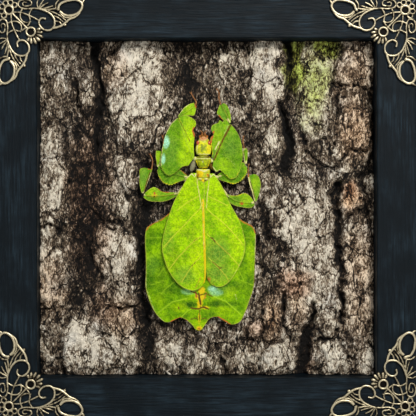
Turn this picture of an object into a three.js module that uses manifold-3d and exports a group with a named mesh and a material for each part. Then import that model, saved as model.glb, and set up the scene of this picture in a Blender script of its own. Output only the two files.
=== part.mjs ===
// A leaf insect, dried and mounted on a slab of bark in a square black shadow frame with
// four cast filigree corners. Millimetres, +Z up, the display side faces -Y.
// The origin is at the middle of the frame's underside, where it stands on a shelf.

import * as THREE from "three";
import { mergeVertices } from "three/addons/utils/BufferGeometryUtils.js";
import Module from "manifold-3d";

const wasm = await Module();
wasm.setup();

// Driving dimensions of the frame.
const outer = 210; // side of the square frame
const railWidth = 20; // face of each rail
const frameDepth = 35; // front face to back edge
const rabbetWidth = 6; // step behind the window that holds the back board
const rabbetDepth = 9;
const outerChamfer = 0.9;
const innerChamfer = 0.6;
const gap = 0.3; // clearance kept between neighbouring pieces
const boardThickness = 3;
const castRelief = 1.5; // height of the filigree above the frame's face

// Driving dimensions of the specimen, in its own frame: x to the right, z towards the head.
const insectX = -2.0; // specimen's middle, from the middle of the window
const insectZ = 15.2;
const barkRecess = 11; // front face of the frame to the bark's seat
const rim = 0.27; // half thickness of every leafy margin

const windowSide = outer - 2 * railWidth;
const frontY = -frameDepth / 2;
const barkY = frontY + barkRecess;
const boardY = frameDepth / 2 - rabbetDepth + gap;
const middleZ = outer / 2;

const root = new THREE.Group();

// Manifold solid from a closed three.js geometry, turned right side out if needed.
function solid(geometry) {
  const bare = geometry.clone();
  bare.deleteAttribute("normal");
  bare.deleteAttribute("uv");
  const merged = mergeVertices(bare, 1e-4);
  const triVerts = new Uint32Array(merged.index.array);
  const vertProperties = new Float32Array(merged.attributes.position.array);
  const made = new wasm.Manifold(new wasm.Mesh({ numProp: 3, vertProperties, triVerts }));
  if (made.volume() > 0) return made;
  for (let i = 0; i < triVerts.length; i += 3)
    [triVerts[i + 1], triVerts[i + 2]] = [triVerts[i + 2], triVerts[i + 1]];
  return new wasm.Manifold(new wasm.Mesh({ numProp: 3, vertProperties, triVerts }));
}

const join = (...solids) => solids.reduce((all, next) => all.add(next));

// The largest closed surface of a solid, without any scrap that a cut leaves.
function largest(made) {
  return made.decompose().reduce((a, b) => (b.volume() > a.volume() ? b : a));
}

function finish(look) {
  return new THREE.MeshStandardMaterial(look);
}

const finishes = {
  black: finish({ color: "#1b2227", roughness: 0.55, metalness: 0 }),
  brass: finish({ color: "#b39f70", roughness: 0.4, metalness: 0.9 }),
  steel: finish({ color: "#8d8f90", roughness: 0.4, metalness: 0.9 }),
  board: finish({ color: "#6f5236", roughness: 0.85, metalness: 0 }),
  bark: finish({ color: "#6a5a49", roughness: 0.95, metalness: 0 }),
  leaf: finish({ color: "#6fae1f", roughness: 0.45, metalness: 0 }),
  wing: finish({ color: "#9fc62a", roughness: 0.45, metalness: 0 }),
  yellow: finish({ color: "#e0d43a", roughness: 0.4, metalness: 0 }),
  eye: finish({ color: "#c8401c", roughness: 0.25, metalness: 0 }),
  tan: finish({ color: "#9a5a26", roughness: 0.6, metalness: 0 }),
};

function addNode(name, made, look) {
  const mesh = made.getMesh();
  const geometry = new THREE.BufferGeometry();
  geometry.setAttribute("position", new THREE.BufferAttribute(mesh.vertProperties, 3));
  geometry.setIndex(new THREE.BufferAttribute(mesh.triVerts, 1));
  geometry.computeVertexNormals();
  const node = new THREE.Mesh(geometry, finishes[look]);
  node.name = name;
  root.add(node);
  return made;
}

// A closed sheet on a grid of rows and columns, both faces split into triangles alike.
// point(row, column, side) gives a vertex, with side 1 in front and -1 behind.
function closedSheet(rows, columns, point) {
  const positions = [];
  const index = [];
  const at = (r, c, side) => (side > 0 ? 0 : (rows + 1) * (columns + 1)) + r * (columns + 1) + c;
  for (const side of [1, -1])
    for (let r = 0; r <= rows; r++)
      for (let c = 0; c <= columns; c++) positions.push(...point(r, c, side));
  const quad = (a, b, c, d) => index.push(a, b, c, a, c, d);
  for (let r = 0; r < rows; r++)
    for (let c = 0; c < columns; c++) {
      quad(at(r, c, 1), at(r, c + 1, 1), at(r + 1, c + 1, 1), at(r + 1, c, 1));
      index.push(at(r, c, -1), at(r + 1, c + 1, -1), at(r, c + 1, -1));
      index.push(at(r, c, -1), at(r + 1, c, -1), at(r + 1, c + 1, -1));
    }
  const edge = [];
  for (let c = 0; c < columns; c++) edge.push([0, c]);
  for (let r = 0; r < rows; r++) edge.push([r, columns]);
  for (let c = columns; c > 0; c--) edge.push([rows, c]);
  for (let r = rows; r > 0; r--) edge.push([r, 0]);
  edge.forEach(([r, c], i) => {
    const [r2, c2] = edge[(i + 1) % edge.length];
    quad(at(r, c, 1), at(r, c, -1), at(r2, c2, -1), at(r2, c2, 1));
  });
  const geometry = new THREE.BufferGeometry();
  geometry.setAttribute("position", new THREE.Float32BufferAttribute(positions, 3));
  geometry.setIndex(index);
  return geometry;
}

// FRAME

// One mitred rail, made as the top one and turned about the middle of the window.
function rail(turn) {
  const section = new THREE.Shape([
    new THREE.Vector2(0, frontY + innerChamfer),
    new THREE.Vector2(innerChamfer, frontY),
    new THREE.Vector2(railWidth - outerChamfer, frontY),
    new THREE.Vector2(railWidth, frontY + outerChamfer),
    new THREE.Vector2(railWidth, frameDepth / 2),
    new THREE.Vector2(rabbetWidth, frameDepth / 2),
    new THREE.Vector2(rabbetWidth, frameDepth / 2 - rabbetDepth),
    new THREE.Vector2(0, frameDepth / 2 - rabbetDepth),
  ]);
  const bar = new THREE.ExtrudeGeometry(section, { depth: outer, bevelEnabled: false });
  // The section's first axis becomes +Z and its second +Y, and the bar runs along X.
  bar.applyMatrix4(
    new THREE.Matrix4().set(0, 0, 1, -outer / 2, 0, 1, 0, 0, 1, 0, 0, windowSide / 2, 0, 0, 0, 1),
  );
  const apex = (gap / 2) * Math.SQRT2;
  const reach = outer / 2 + 2;
  const wedge = new THREE.Shape([
    new THREE.Vector2(0, apex),
    new THREE.Vector2(reach - apex, reach),
    new THREE.Vector2(apex - reach, reach),
  ]);
  const mitre = new THREE.ExtrudeGeometry(wedge, { depth: 2 * frameDepth, bevelEnabled: false });
  mitre.rotateX(Math.PI / 2).translate(0, frameDepth, 0);
  return solid(bar)
    .intersect(solid(mitre))
    .rotate([0, turn, 0])
    .translate([0, 0, middleZ]);
}

["frame_rail_top", "frame_rail_right", "frame_rail_bottom", "frame_rail_left"].forEach((name, i) =>
  addNode(name, rail(90 * i), "black"),
);

function box(x, y, z, sizeX, sizeY, sizeZ) {
  return solid(new THREE.BoxGeometry(sizeX, sizeY, sizeZ).translate(x, y, z));
}

const boardSide = windowSide + 2 * rabbetWidth - 2 * gap;
addNode(
  "back_board",
  box(0, boardY + boardThickness / 2, middleZ, boardSide, boardThickness, boardSide),
  "board",
);

// Steel tabs that keep the board in its rabbet, one in the middle of each side.
const tab = { length: 11, width: 7, thickness: 0.8 };
for (let i = 0; i < 4; i++) {
  const reach = boardSide / 2 - tab.length / 2 - gap;
  const y = boardY + boardThickness + gap + tab.thickness / 2;
  const made = box(0, y, reach, tab.width, tab.thickness, tab.length);
  addNode(`board_tab_${i + 1}`, made.rotate([0, 90 * i, 0]).translate([0, 0, middleZ]), "steel");
}

// Sawtooth hanger on the back of the top rail.
function hanger() {
  const plate = { length: 44, height: 9, thickness: castRelief, teeth: 7, tooth: 2.4, depth: 1.6 };
  const shape = new THREE.Shape();
  const half = plate.length / 2;
  shape.moveTo(-half, 0).lineTo(-half, plate.height).lineTo(half, plate.height).lineTo(half, 0);
  const start = (plate.teeth * plate.tooth) / 2;
  for (let i = 0; i < plate.teeth; i++) {
    shape.lineTo(start - i * plate.tooth, 0);
    shape.lineTo(start - (i + 0.5) * plate.tooth, plate.depth);
  }
  shape.lineTo(-start, 0);
  const made = new THREE.ExtrudeGeometry(shape, { depth: plate.thickness, bevelEnabled: false });
  made.rotateX(Math.PI / 2);
  const y = frameDepth / 2 + gap + plate.thickness;
  return solid(made).translate([0, y, outer - railWidth / 2 - plate.height / 2]);
}
addNode("wall_hanger", hanger(), "steel");

// FILIGREE CORNERS
// Drawn for the top left corner: a runs right from the frame's corner and b runs down.
// Every stroke is made twice, the second time mirrored in the diagonal.

const castY = frontY - gap; // back of the casting

// A strand along a curve through the points, with a flat foot and a ridge along its top.
function stroke(points, width, steps, height = 1.25) {
  const curve = new THREE.CatmullRomCurve3(points.map(([a, b]) => new THREE.Vector3(a, 0, b)));
  const section = [[-0.5, 0], [0, 1], [0.5, 0]];
  const positions = [];
  const index = [0, 2, 1, 3 * steps, 3 * steps + 1, 3 * steps + 2];
  for (let i = 0; i <= steps; i++) {
    const here = curve.getPointAt(i / steps);
    const along = curve.getTangentAt(i / steps);
    for (const [off, up] of section)
      positions.push(here.x - along.z * off * width, -up * height, here.z + along.x * off * width);
  }
  for (let i = 0; i < steps; i++)
    for (let k = 0; k < 3; k++) {
      const [p, q] = [3 * i + k, 3 * i + ((k + 1) % 3)];
      index.push(p, q, q + 3, p, q + 3, p + 3);
    }
  const geometry = new THREE.BufferGeometry();
  geometry.setAttribute("position", new THREE.Float32BufferAttribute(positions, 3));
  geometry.setIndex(index);
  return solid(geometry);
}

// A closed ring with the strand's section.
function ring(a, b, radius, width, sides, height = 1.25) {
  const profile = [[-0.5, 0], [0.5, 0], [0, 1], [-0.5, 0]];
  const points = profile.map(([off, up]) => new THREE.Vector2(radius + off * width, up * height));
  return solid(new THREE.LatheGeometry(points, sides).rotateX(Math.PI).translate(a, 0, b));
}

function bead(a, b, radius) {
  const ball = new THREE.SphereGeometry(radius, 6, 3);
  ball.scale(1, castRelief / 2 / radius, 1).translate(a, -castRelief / 2, b);
  return solid(ball);
}

function petal(a, b, angle, from, to, width) {
  const [ca, sa] = [Math.cos(angle), Math.sin(angle)];
  const along = (d) => [a + ca * d, b + sa * d];
  return stroke([along(from), along(to)], width, 1, 1.2);
}

const strand = 0.95; // ordinary width of a cast strand
const heavy = 1.35; // width of the outer loop and its edge
const halfOfCorner = [
  // the flattened spiral, running on into the stem as far as its bead
  [
    [
      [15.4, 2.3], [12.9, 2.6], [14.2, 3.9], [17.2, 3.4], [16.8, 1.3], [12.2, 1.1], [10.6, 3.2],
      [13.2, 5.1], [19, 5.3], [25.1, 5.9], [29.6, 5.6],
    ],
    strand,
    11,
  ],
  // the C scroll that grows out of the stem
  [
    [[25, 11.2], [22, 11.1], [21.6, 13.8], [25.1, 16.5], [28.7, 14.8], [28.3, 10], [24, 6.4], [21.5, 5.5]],
    1.2,
    9,
  ],
  // the large loop at the end
  [
    [
      [30.8, 5.6], [31.6, 3.6], [35.5, 1.4], [40.2, 1.2], [43, 3.8], [41.2, 7.3], [37.6, 9.1],
      [34, 8.6], [32, 6.8],
    ],
    heavy,
    10,
  ],
  // the scalloped lower edge from the loop to the C scroll
  [[[40.6, 8], [37.4, 10.8], [34.2, 13.2], [31.6, 14.3], [27.9, 15.4]], 1.3, 4],
  // the short tip past the loop
  [[[42.4, 2.6], [43.9, 1.2]], 1.1, 1],
  // fan strokes above the stem
  [[[20.6, 5], [20.7, 0.9]], strand, 1],
  [[[21.2, 5.2], [23.3, 0.9]], strand, 1],
  [[[21.4, 5.4], [26.4, 2.9]], strand, 1],
  [[[29.5, 5.2], [31.2, 0.9]], strand, 1],
  // leaf strokes below the stem
  [[[26, 6.2], [36, 10.6]], 0.9, 1],
  // lattice between the two rosettes
  [[[7.6, 7.2], [22.6, 10.9]], 0.9, 1],
  [[[12.9, 5], [12.5, 11.7], [17.2, 11.9]], 0.9, 3],
  [[[17.7, 5.4], [16.6, 9.3], [17.4, 12], [14.6, 14.8]], 0.9, 3],
];

function corner() {
  const mirrored = (points) => points.map(([a, b]) => [b, a]);
  const pieces = [];
  for (const [points, width, steps] of halfOfCorner)
    pieces.push(stroke(points, width, steps), stroke(mirrored(points), width, steps));
  for (const [a, b, radius] of [[30.4, 6.1, 1.25], [33.8, 13.8, 1.15]])
    pieces.push(bead(a, b, radius), bead(b, a, radius));
  const rosette = { at: 6.1, radius: 2.1, petals: 5, spread: 0.78, from: 2.4, reach: 5.1 };
  const shell = { at: 17, radius: 2.2, petals: 7, spread: 0.37, from: 2.4, longest: 6.9, shortest: 4.1 };
  const outward = -0.75 * Math.PI;
  pieces.push(ring(rosette.at, rosette.at, rosette.radius, 1.05, 9));
  for (let i = 0; i < rosette.petals; i++) {
    const angle = outward + (i - (rosette.petals - 1) / 2) * rosette.spread;
    pieces.push(petal(rosette.at, rosette.at, angle, rosette.from, rosette.reach, 1.7));
  }
  pieces.push(ring(shell.at, shell.at, shell.radius, 1.05, 9));
  for (let i = 0; i < shell.petals; i++) {
    const step = i - (shell.petals - 1) / 2;
    const reach = shell.longest - (shell.longest - shell.shortest) * (Math.abs(step) / 3) ** 2;
    const angle = Math.PI / 4 + step * shell.spread;
    pieces.push(petal(shell.at, shell.at, angle, shell.from, reach, 1.3));
  }
  pieces.push(stroke([[7.6, 7.6], [15.6, 15.6]], 0.75, 1));
  return largest(join(...pieces));
}

// The casting's own a and b become X and -Z, starting at the top left of the frame.
const casting = corner()
  .mirror([0, 0, 1])
  .translate([-outer / 2, castY, outer / 2]);
["top_left", "top_right", "bottom_right", "bottom_left"].forEach((place, i) =>
  addNode(
    `filigree_${place}`,
    casting.rotate([0, 90 * i, 0]).translate([0, 0, middleZ]),
    "brass",
  ),
);

// BARK
// Rounded plates of bark stand up between fissures. Each is x, z, half width, half height,
// rise and lean, in millimetres from the middle of the window.

const barkPlates = [
  [-79, 70, 9, 22, 2.0, 0], [-79, 15, 10, 26, 2.4, 0], [-77, -23, 11, 13, 2.8, 0.1],
  [-79, -58, 9, 20, 1.8, 0], [-63, 62, 7, 28, 1.2, 0], [-39, 62, 14, 30, 3.4, -0.25],
  [-36, 35, 11, 14, 3.0, 0.1], [-40, 14, 8.5, 10, 3.2, 0.2], [-42, -4, 12, 11, 2.0, 0],
  [-46, -25, 10.5, 11.5, 3.4, 0.15], [-45, -44, 12, 9, 2.8, 0], [-46, -61, 12, 8, 2.2, 0],
  [-58, -74, 13, 13, 3.6, 0.2], [-30, -74, 12, 12, 1.6, 0], [-10, -76, 9, 11, 2.0, 0],
  [7, 72, 11, 12, 1.8, 0], [29, 67, 11, 18, 3.4, -0.1], [32, 36, 10, 14, 2.4, 0.1],
  [57, 62, 8.5, 24, 3.2, 0], [57, 30, 8, 13, 2.6, 0], [75, 62, 8.5, 24, 2.8, 0],
  [74, 24, 8, 13, 2.4, 0], [50, 8, 13, 9, 2.6, 0], [49, -22, 16, 23, 3.4, -0.2],
  [46, -52, 8, 13, 2.6, 0], [32, -56, 8, 12, 1.8, 0], [60, -52, 7.5, 17, 2.6, 0],
  [78, -20, 8, 34, 1.8, 0], [24, -78, 14, 9, 2.6, 0], [78, -68, 8, 14, 3.0, 0],
  [60, -80, 9, 8, 2.2, 0], [75, 2, 7, 8, 3.2, 0],
];
const fissureFloor = -2.6;

// Height of the bark above its seat, at x and z from the middle of the window.
function barkHeight(x, z) {
  let height = fissureFloor + 0.35 * Math.sin(0.23 * x + 1.3 * Math.sin(0.06 * z));
  for (const [cx, cz, rx, rz, rise, lean] of barkPlates) {
    const dx = Math.abs((x - cx - lean * (z - cz)) / rx);
    const dz = Math.abs((z - cz) / rz);
    const inside = 1 - (dx ** 3 + dz ** 3);
    const plate = (rise - fissureFloor) * Math.sqrt(Math.max(0, inside)) + fissureFloor;
    height = Math.max(height, plate);
  }
  height += 0.3 * Math.sin(0.9 * x + 0.35 * z) * Math.sin(0.31 * z + 0.5);
  return Math.min(height, seatHeight(x, z));
}

// Under and close round the specimen nothing rises above its seat.
function seatHeight(x, z) {
  const dx = Math.abs(x - insectX) / 37;
  const dz = Math.abs(z - insectZ + 18) / 66;
  const out = Math.sqrt(dx * dx + dz * dz) - 1;
  return out <= 0 ? 0 : 14 * out;
}

// Inside the footprint of the body and legs the slab is level, so that all of it can rest.
function restsOn(x, z) {
  const dx = Math.abs(x - insectX);
  const down = insectZ - z;
  const body = dx < 9 && down > -14 && down < 78;
  const feet = dx < 34 && down > -46 && down < 16;
  return body || feet;
}

function barkSlab() {
  const cells = 23;
  const half = windowSide / 2 - gap;
  const back = boardY - gap;
  const positions = [];
  const index = [];
  const at = (r, c) => r * (cells + 1) + c;
  for (let r = 0; r <= cells; r++)
    for (let c = 0; c <= cells; c++) {
      const x = -half + (2 * half * c) / cells;
      const z = -half + (2 * half * r) / cells;
      const height = restsOn(x, z) ? 0 : barkHeight(x, z);
      positions.push(x, barkY - height, z + middleZ);
    }
  for (let r = 0; r < cells; r++)
    for (let c = 0; c < cells; c++)
      index.push(at(r, c), at(r, c + 1), at(r + 1, c + 1), at(r, c), at(r + 1, c + 1), at(r + 1, c));
  const edge = [];
  for (let c = 0; c < cells; c++) edge.push(at(0, c));
  for (let r = 0; r < cells; r++) edge.push(at(r, cells));
  for (let c = cells; c > 0; c--) edge.push(at(cells, c));
  for (let r = cells; r > 0; r--) edge.push(at(r, 0));
  const first = positions.length / 3;
  for (const v of edge) positions.push(positions[3 * v], back, positions[3 * v + 2]);
  const centre = positions.length / 3;
  positions.push(0, back, middleZ);
  edge.forEach((v, i) => {
    const j = (i + 1) % edge.length;
    index.push(v, first + i, first + j, v, first + j, edge[j], first + j, first + i, centre);
  });
  const geometry = new THREE.BufferGeometry();
  geometry.setAttribute("position", new THREE.Float32BufferAttribute(positions, 3));
  geometry.setIndex(index);
  return solid(geometry);
}
addNode("bark_slab", barkSlab(), "bark");

// SPECIMEN
// Every leafy part is a blade between three curves: its axis, its left margin and its right
// margin. A station gives one point of each, so that rows follow the veins.

// Point on a smooth curve through evenly numbered knots, at 0 to 1.
function through(knots, t) {
  const place = Math.min(Math.max(t, 0), 1) * (knots.length - 1);
  const i = Math.min(Math.floor(place), knots.length - 2);
  const f = place - i;
  const k = (n) => knots[Math.min(Math.max(n, 0), knots.length - 1)];
  return [0, 1].map((axis) => {
    const [a, b, c, d] = [k(i - 1)[axis], k(i)[axis], k(i + 1)[axis], k(i + 2)[axis]];
    return b + 0.5 * f * (c - a + f * (2 * a - 5 * b + 4 * c - d + f * (3 * (b - c) + d - a)));
  });
}

// A blade with mid(s, t, x, z) as its height over the seat and half(s, t, x, z) as its half
// thickness; s runs from -1 at the left margin to 1 at the right, and t from 0 to 1.
function blade({ axis, left, right, rows, columns, mid, half }, grow = 0) {
  return solid(
    closedSheet(rows, columns, (r, c, side) => {
      const t = r / rows;
      const s = -1 + (2 * c) / columns;
      const a = through(axis, t);
      const m = through(s < 0 ? left : right, t);
      const away = Math.hypot(m[0] - a[0], m[1] - a[1]) || 1;
      const reach = Math.abs(s) * (1 + grow / away);
      const end = through(axis, r === 0 ? 0.02 : 0.98);
      const run = Math.hypot(a[0] - end[0], a[1] - end[1]) || 1;
      const push = r === 0 || r === rows ? grow / run : 0;
      const x = a[0] + (m[0] - a[0]) * reach + (a[0] - end[0]) * push;
      const z = a[1] + (m[1] - a[1]) * reach + (a[1] - end[1]) * push;
      const height = mid(s, t, x, z) + side * (half(s, t, x, z) + grow);
      return [x, -height, z];
    }),
  );
}

// A tube of round section along points of x, z and height, with its own radii.
function limb(points, radii, steps, sides = 6, grow = 0) {
  const curve = new THREE.CatmullRomCurve3(points.map(([x, z, w]) => new THREE.Vector3(x, -w, z)));
  const positions = [];
  const index = [];
  for (let i = 0; i <= steps; i++) {
    const here = curve.getPointAt(i / steps);
    const along = curve.getTangentAt(i / steps);
    if (i === 0) here.addScaledVector(along, -grow);
    if (i === steps) here.addScaledVector(along, grow);
    const across = new THREE.Vector3(0, 1, 0).cross(along).normalize();
    const up = along.clone().cross(across);
    const radius = through(radii.map((v) => [v, 0]), i / steps)[0] + grow;
    for (let k = 0; k < sides; k++) {
      const angle = (2 * Math.PI * k) / sides;
      const skin = here.clone().addScaledVector(across, radius * Math.cos(angle));
      skin.addScaledVector(up, radius * Math.sin(angle));
      positions.push(skin.x, skin.y, skin.z);
    }
  }
  for (let i = 0; i < steps; i++)
    for (let k = 0; k < sides; k++) {
      const [a, b] = [i * sides + k, i * sides + ((k + 1) % sides)];
      index.push(a, b, b + sides, a, b + sides, a + sides);
    }
  for (let k = 1; k < sides - 1; k++) {
    index.push(0, k + 1, k);
    index.push(steps * sides, steps * sides + k, steps * sides + k + 1);
  }
  const geometry = new THREE.BufferGeometry();
  geometry.setAttribute("position", new THREE.Float32BufferAttribute(positions, 3));
  geometry.setIndex(index);
  return solid(geometry);
}

function knob(x, z, w, rx, rz, rw, grow = 0) {
  const ball = new THREE.SphereGeometry(1, 8, 6);
  ball.scale(rx + grow, rw + grow, rz + grow).translate(x, -w, z);
  return solid(ball);
}

// A rounded body segment between a floor and a crown height.
function segment({ widths, z0, z1, floor, crown, rows = 5, columns = 6, centre = 0.2 }, grow = 0) {
  const knots = widths.map((w, i) => [w, z0 + ((z1 - z0) * i) / (widths.length - 1)]);
  const flank = 0.42; // share of the depth left at the sides
  const depth = (s) => flank + (1 - flank) * Math.sqrt(Math.max(0, 1 - s * s));
  return blade(
    {
      axis: knots.map(([, z]) => [centre, z]),
      left: knots.map(([w, z]) => [centre - w, z]),
      right: knots.map(([w, z]) => [centre + w, z]),
      rows,
      columns,
      mid: (s, t) => (floor + crown(t)) / 2,
      half: (s, t) => ((crown(t) - floor) / 2) * depth(s),
    },
    grow,
  );
}

// The collar, and the two coxae of the fore legs at its sides.
const collar = {
  widths: [2.3, 3.0, 3.6, 3.8, 3.3],
  z0: 5.0,
  z1: 10.9,
  floor: 1.2,
  crown: (t) => 4.9 + 0.8 * Math.sin(Math.PI * t),
};
const prothorax = (grow) =>
  join(
    segment(collar, grow),
    knob(-4.1, 9.6, 2.9, 1.3, 1.2, 1.3, grow),
    knob(4.4, 9.2, 2.9, 1.3, 1.2, 1.3, grow),
  );

// The saddle and the low part behind it, with the coxae of the middle and hind legs.
const saddle = {
  widths: [5.0, 4.6, 3.9, 3.3, 3.3, 3.4, 3.1],
  z0: -9.0,
  z1: 4.7,
  floor: 0.35,
  crown: (t) => (t > 0.62 ? 5.3 : 3.7),
  rows: 8,
};
const coxae = [
  // points of x, z and height, then radii
  [[[-2, -0.4, 2.0], [-5.2, -0.2, 1.9], [-7.4, 0.0, 1.9]], [1.1, 1.0, 0.8]],
  [[[2, -0.4, 2.0], [5.0, -0.1, 1.9], [7.0, 0.2, 1.9]], [1.1, 1.0, 0.8]],
  [[[-3, -7.4, 1.8], [-8, -7.6, 1.7], [-12.6, -7.9, 1.6]], [1.1, 0.9, 0.75]],
  [[[3, -7.4, 1.8], [8, -7.9, 1.7], [11.6, -8.6, 1.6]], [1.1, 0.9, 0.75]],
];
const mesothorax = (grow) =>
  join(segment(saddle, grow), ...coxae.map(([points, radii]) => limb(points, radii, 3, 6, grow)));

const eyes = { x: 2.9, z: 17.7, w: 3.9, rx: 0.85, rz: 1.15, rw: 0.95, centre: 0.25 };
const eye = (side, grow = 0) =>
  knob(eyes.centre + side * eyes.x, eyes.z, eyes.w, eyes.rx, eyes.rz, eyes.rw, grow);

const headShape = {
  widths: [3.4, 3.9, 4.0, 3.7, 3.1, 2.5, 1.7, 1.2],
  z0: 11.1,
  z1: 21.9,
  floor: 1.3,
  crown: (t) => 5.4 - 1.9 * t * t,
  rows: 8,
  centre: eyes.centre,
};
const head = (grow) => segment(headShape, grow);

const antennaPath = (side) => [
  [eyes.centre + side * 0.75, 21.4, 2.9],
  [eyes.centre + side * 0.5, 22.7, 3.1],
  [eyes.centre + side * 1.7, 24.1, 3.0],
];
const antenna = (side, grow = 0) => limb(antennaPath(side), [0.45, 0.4, 0.3], 4, 6, grow);

// Everything of the specimen is placed on the bark by this.
function place(name, made, look) {
  addNode(name, largest(made).translate([insectX, barkY, insectZ + middleZ]), look);
}

place("prothorax", prothorax(0), "yellow");
place("mesothorax", mesothorax(0).subtract(prothorax(gap)), "yellow");
place("head", head(0).subtract(join(prothorax(gap), eye(-1, gap), eye(1, gap))), "yellow");
place("eye_left", eye(-1), "eye");
place("eye_right", eye(1), "eye");
place("antenna_left", antenna(-1).subtract(head(gap)), "tan");
place("antenna_right", antenna(1).subtract(join(head(gap), antenna(-1, gap))), "tan");

// ABDOMEN: stations follow the borders of its segments from front to tip.
const abdomenStations = [
  // axis z, left margin x and z, right margin x and z
  [-9.5, -6.5, -9.9, 6.5, -9.9], [-14, -13.4, -14.6, 13.0, -14.8], [-18.5, -20.2, -20.2, 18.4, -20.6],
  [-22.5, -27.2, -24.1, 24.6, -24.1], [-26, -29.0, -26.6, 26.4, -27.4], [-31, -29.4, -32.4, 26.6, -32.0],
  [-38, -29.0, -40.5, 26.4, -39.5], [-44.5, -29.0, -48.3, 26.2, -47.5], [-50.5, -29.1, -55.3, 25.7, -55],
  [-55.5, -27.1, -62.4, 23.7, -61.5], [-59, -24.2, -68.3, 21.4, -67.8], [-61.5, -19.9, -72.6, 18.6, -72.8],
  [-64, -16.2, -72.7, 13.6, -74], [-66.5, -11.7, -70.6, 8.2, -70.4], [-69.5, -8.1, -72.1, 3.6, -70.9],
  [-72.5, -5.4, -74.7, 1.2, -73.9], [-75.6, -3.3, -76.6, -0.4, -76.4],
];
const axisLean = 0.03; // the abdomen turns this much to the left
const crest = (x, z) => {
  // height of the abdomen's back over the seat
  const off = Math.abs(x + axisLean * (-9.5 - z)) / 28;
  const back = 4.0 - 1.0 * Math.min(1, Math.max(0, (-40 - z) / 37));
  return back - (back - 1.9) * Math.min(1, off) ** 1.3;
};
const abdomen = {
  axis: abdomenStations.map(([z]) => [axisLean * (z + 9.5), z]),
  left: abdomenStations.map(([, x, z]) => [x, z]),
  right: abdomenStations.map(([, , , x, z]) => [x, z]),
  rows: 24,
  columns: 10,
};
const bellyHalf = (s, x, z) => rim + (crest(x, z) / 2 - 0.16 - rim) * Math.exp(-((s / 0.3) ** 2));
place(
  "abdomen",
  blade({
    ...abdomen,
    mid: (s, t, x, z) => crest(x, z) - bellyHalf(s, x, z),
    half: (s, t, x, z) => bellyHalf(s, x, z),
  }).subtract(mesothorax(gap)),
  "leaf",
);

// TEGMINA: a station gives the inner edge's x and z and the outer edge's x and z. The rows
// between them slant as the side veins do, and four rows carry a vein as a ridge.
const tegmenLeft = [
  [-3.2, 2.4, -6.0, 2.4], [-3.0, -0.4, -8.3, -0.6], [0.6, -3.0, -11.0, -5.4], [0.8, -8, -15.0, -12.8],
  [0.7, -13, -19.2, -25.5], [0.9, -19, -20.7, -35.0], [1.0, -25, -19.3, -42.0], [1.2, -31, -16.8, -47.9],
  [1.4, -37, -13.4, -52.6], [1.5, -42, -10.0, -55.3], [1.5, -46.5, -6.0, -56.7], [1.3, -50, -2.8, -56.3],
  [0.8, -52.6, -0.6, -54.8],
];
const tegmenRight = [
  [3.2, 2.2, 5.6, 2.2], [3.1, -0.4, 7.6, -0.8], [0.0, -3.0, 10.2, -5.4], [0.0, -8, 13.8, -13.2],
  [0.0, -13, 18.6, -22.2], [0.1, -19, 21.2, -31.8], [0.2, -25, 20.8, -38.7], [0.4, -31, 18.4, -44.5],
  [0.7, -37, 14.9, -50.4], [1.0, -42, 11.3, -54.1], [1.3, -46, 8.0, -55.1], [1.7, -49, 5.0, -54.2],
  [2.2, -51, 3.0, -52.4],
];
const tegmenRows = 24;
const veinRows = [6, 10, 14, 18];

// A tegmen lies on the crest of the abdomen; over is its clearance, and its veins and its
// inner edge stand up a little.
function tegmen(stations, side, over) {
  const innerEdge = stations.map(([x, z]) => [x, z]);
  const outerEdge = stations.map(([, , x, z]) => [x, z]);
  const middle = innerEdge.map(([x, z], i) => [(x + outerEdge[i][0]) / 2, (z + outerEdge[i][1]) / 2]);
  const vein = (t) => (veinRows.includes(Math.round(t * tegmenRows)) ? 0.22 : 0);
  const fold = (s) => (s * side < -0.8 ? 0.3 : 0);
  const lift = (x, z) => Math.max(crest(x, z), z > -9 ? 3.9 : 0) + over + rim;
  return blade({
    axis: middle,
    left: side < 0 ? outerEdge : innerEdge,
    right: side < 0 ? innerEdge : outerEdge,
    rows: tegmenRows,
    columns: 6,
    mid: (s, t, x, z) => lift(x, z) + (vein(t) + fold(s)) / 2,
    half: (s, t) => rim + (vein(t) + fold(s)) / 2,
  });
}
const overRight = 0.36;
const overLeft = overRight + 2 * rim + 0.3 + gap + 0.06; // it lies on the right one's edge
place("tegmen_right", tegmen(tegmenRight, 1, overRight).subtract(mesothorax(gap)), "wing");
place("tegmen_left", tegmen(tegmenLeft, -1, overLeft).subtract(mesothorax(gap)), "wing");

// LEGS
// Each femur and tibia is a leafy blade with a shaft along its axis.
function leg({ axis, left, right, rows = 8, columns = 6, height, shaft = 0.8, slope = 0 }, grow = 0) {
  return blade(
    {
      axis,
      left,
      right,
      rows,
      columns,
      mid: (s, t) => height + slope * t,
      half: (s) => rim + (shaft - rim) * Math.exp(-((s / 0.28) ** 2)),
    },
    grow,
  );
}

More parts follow.
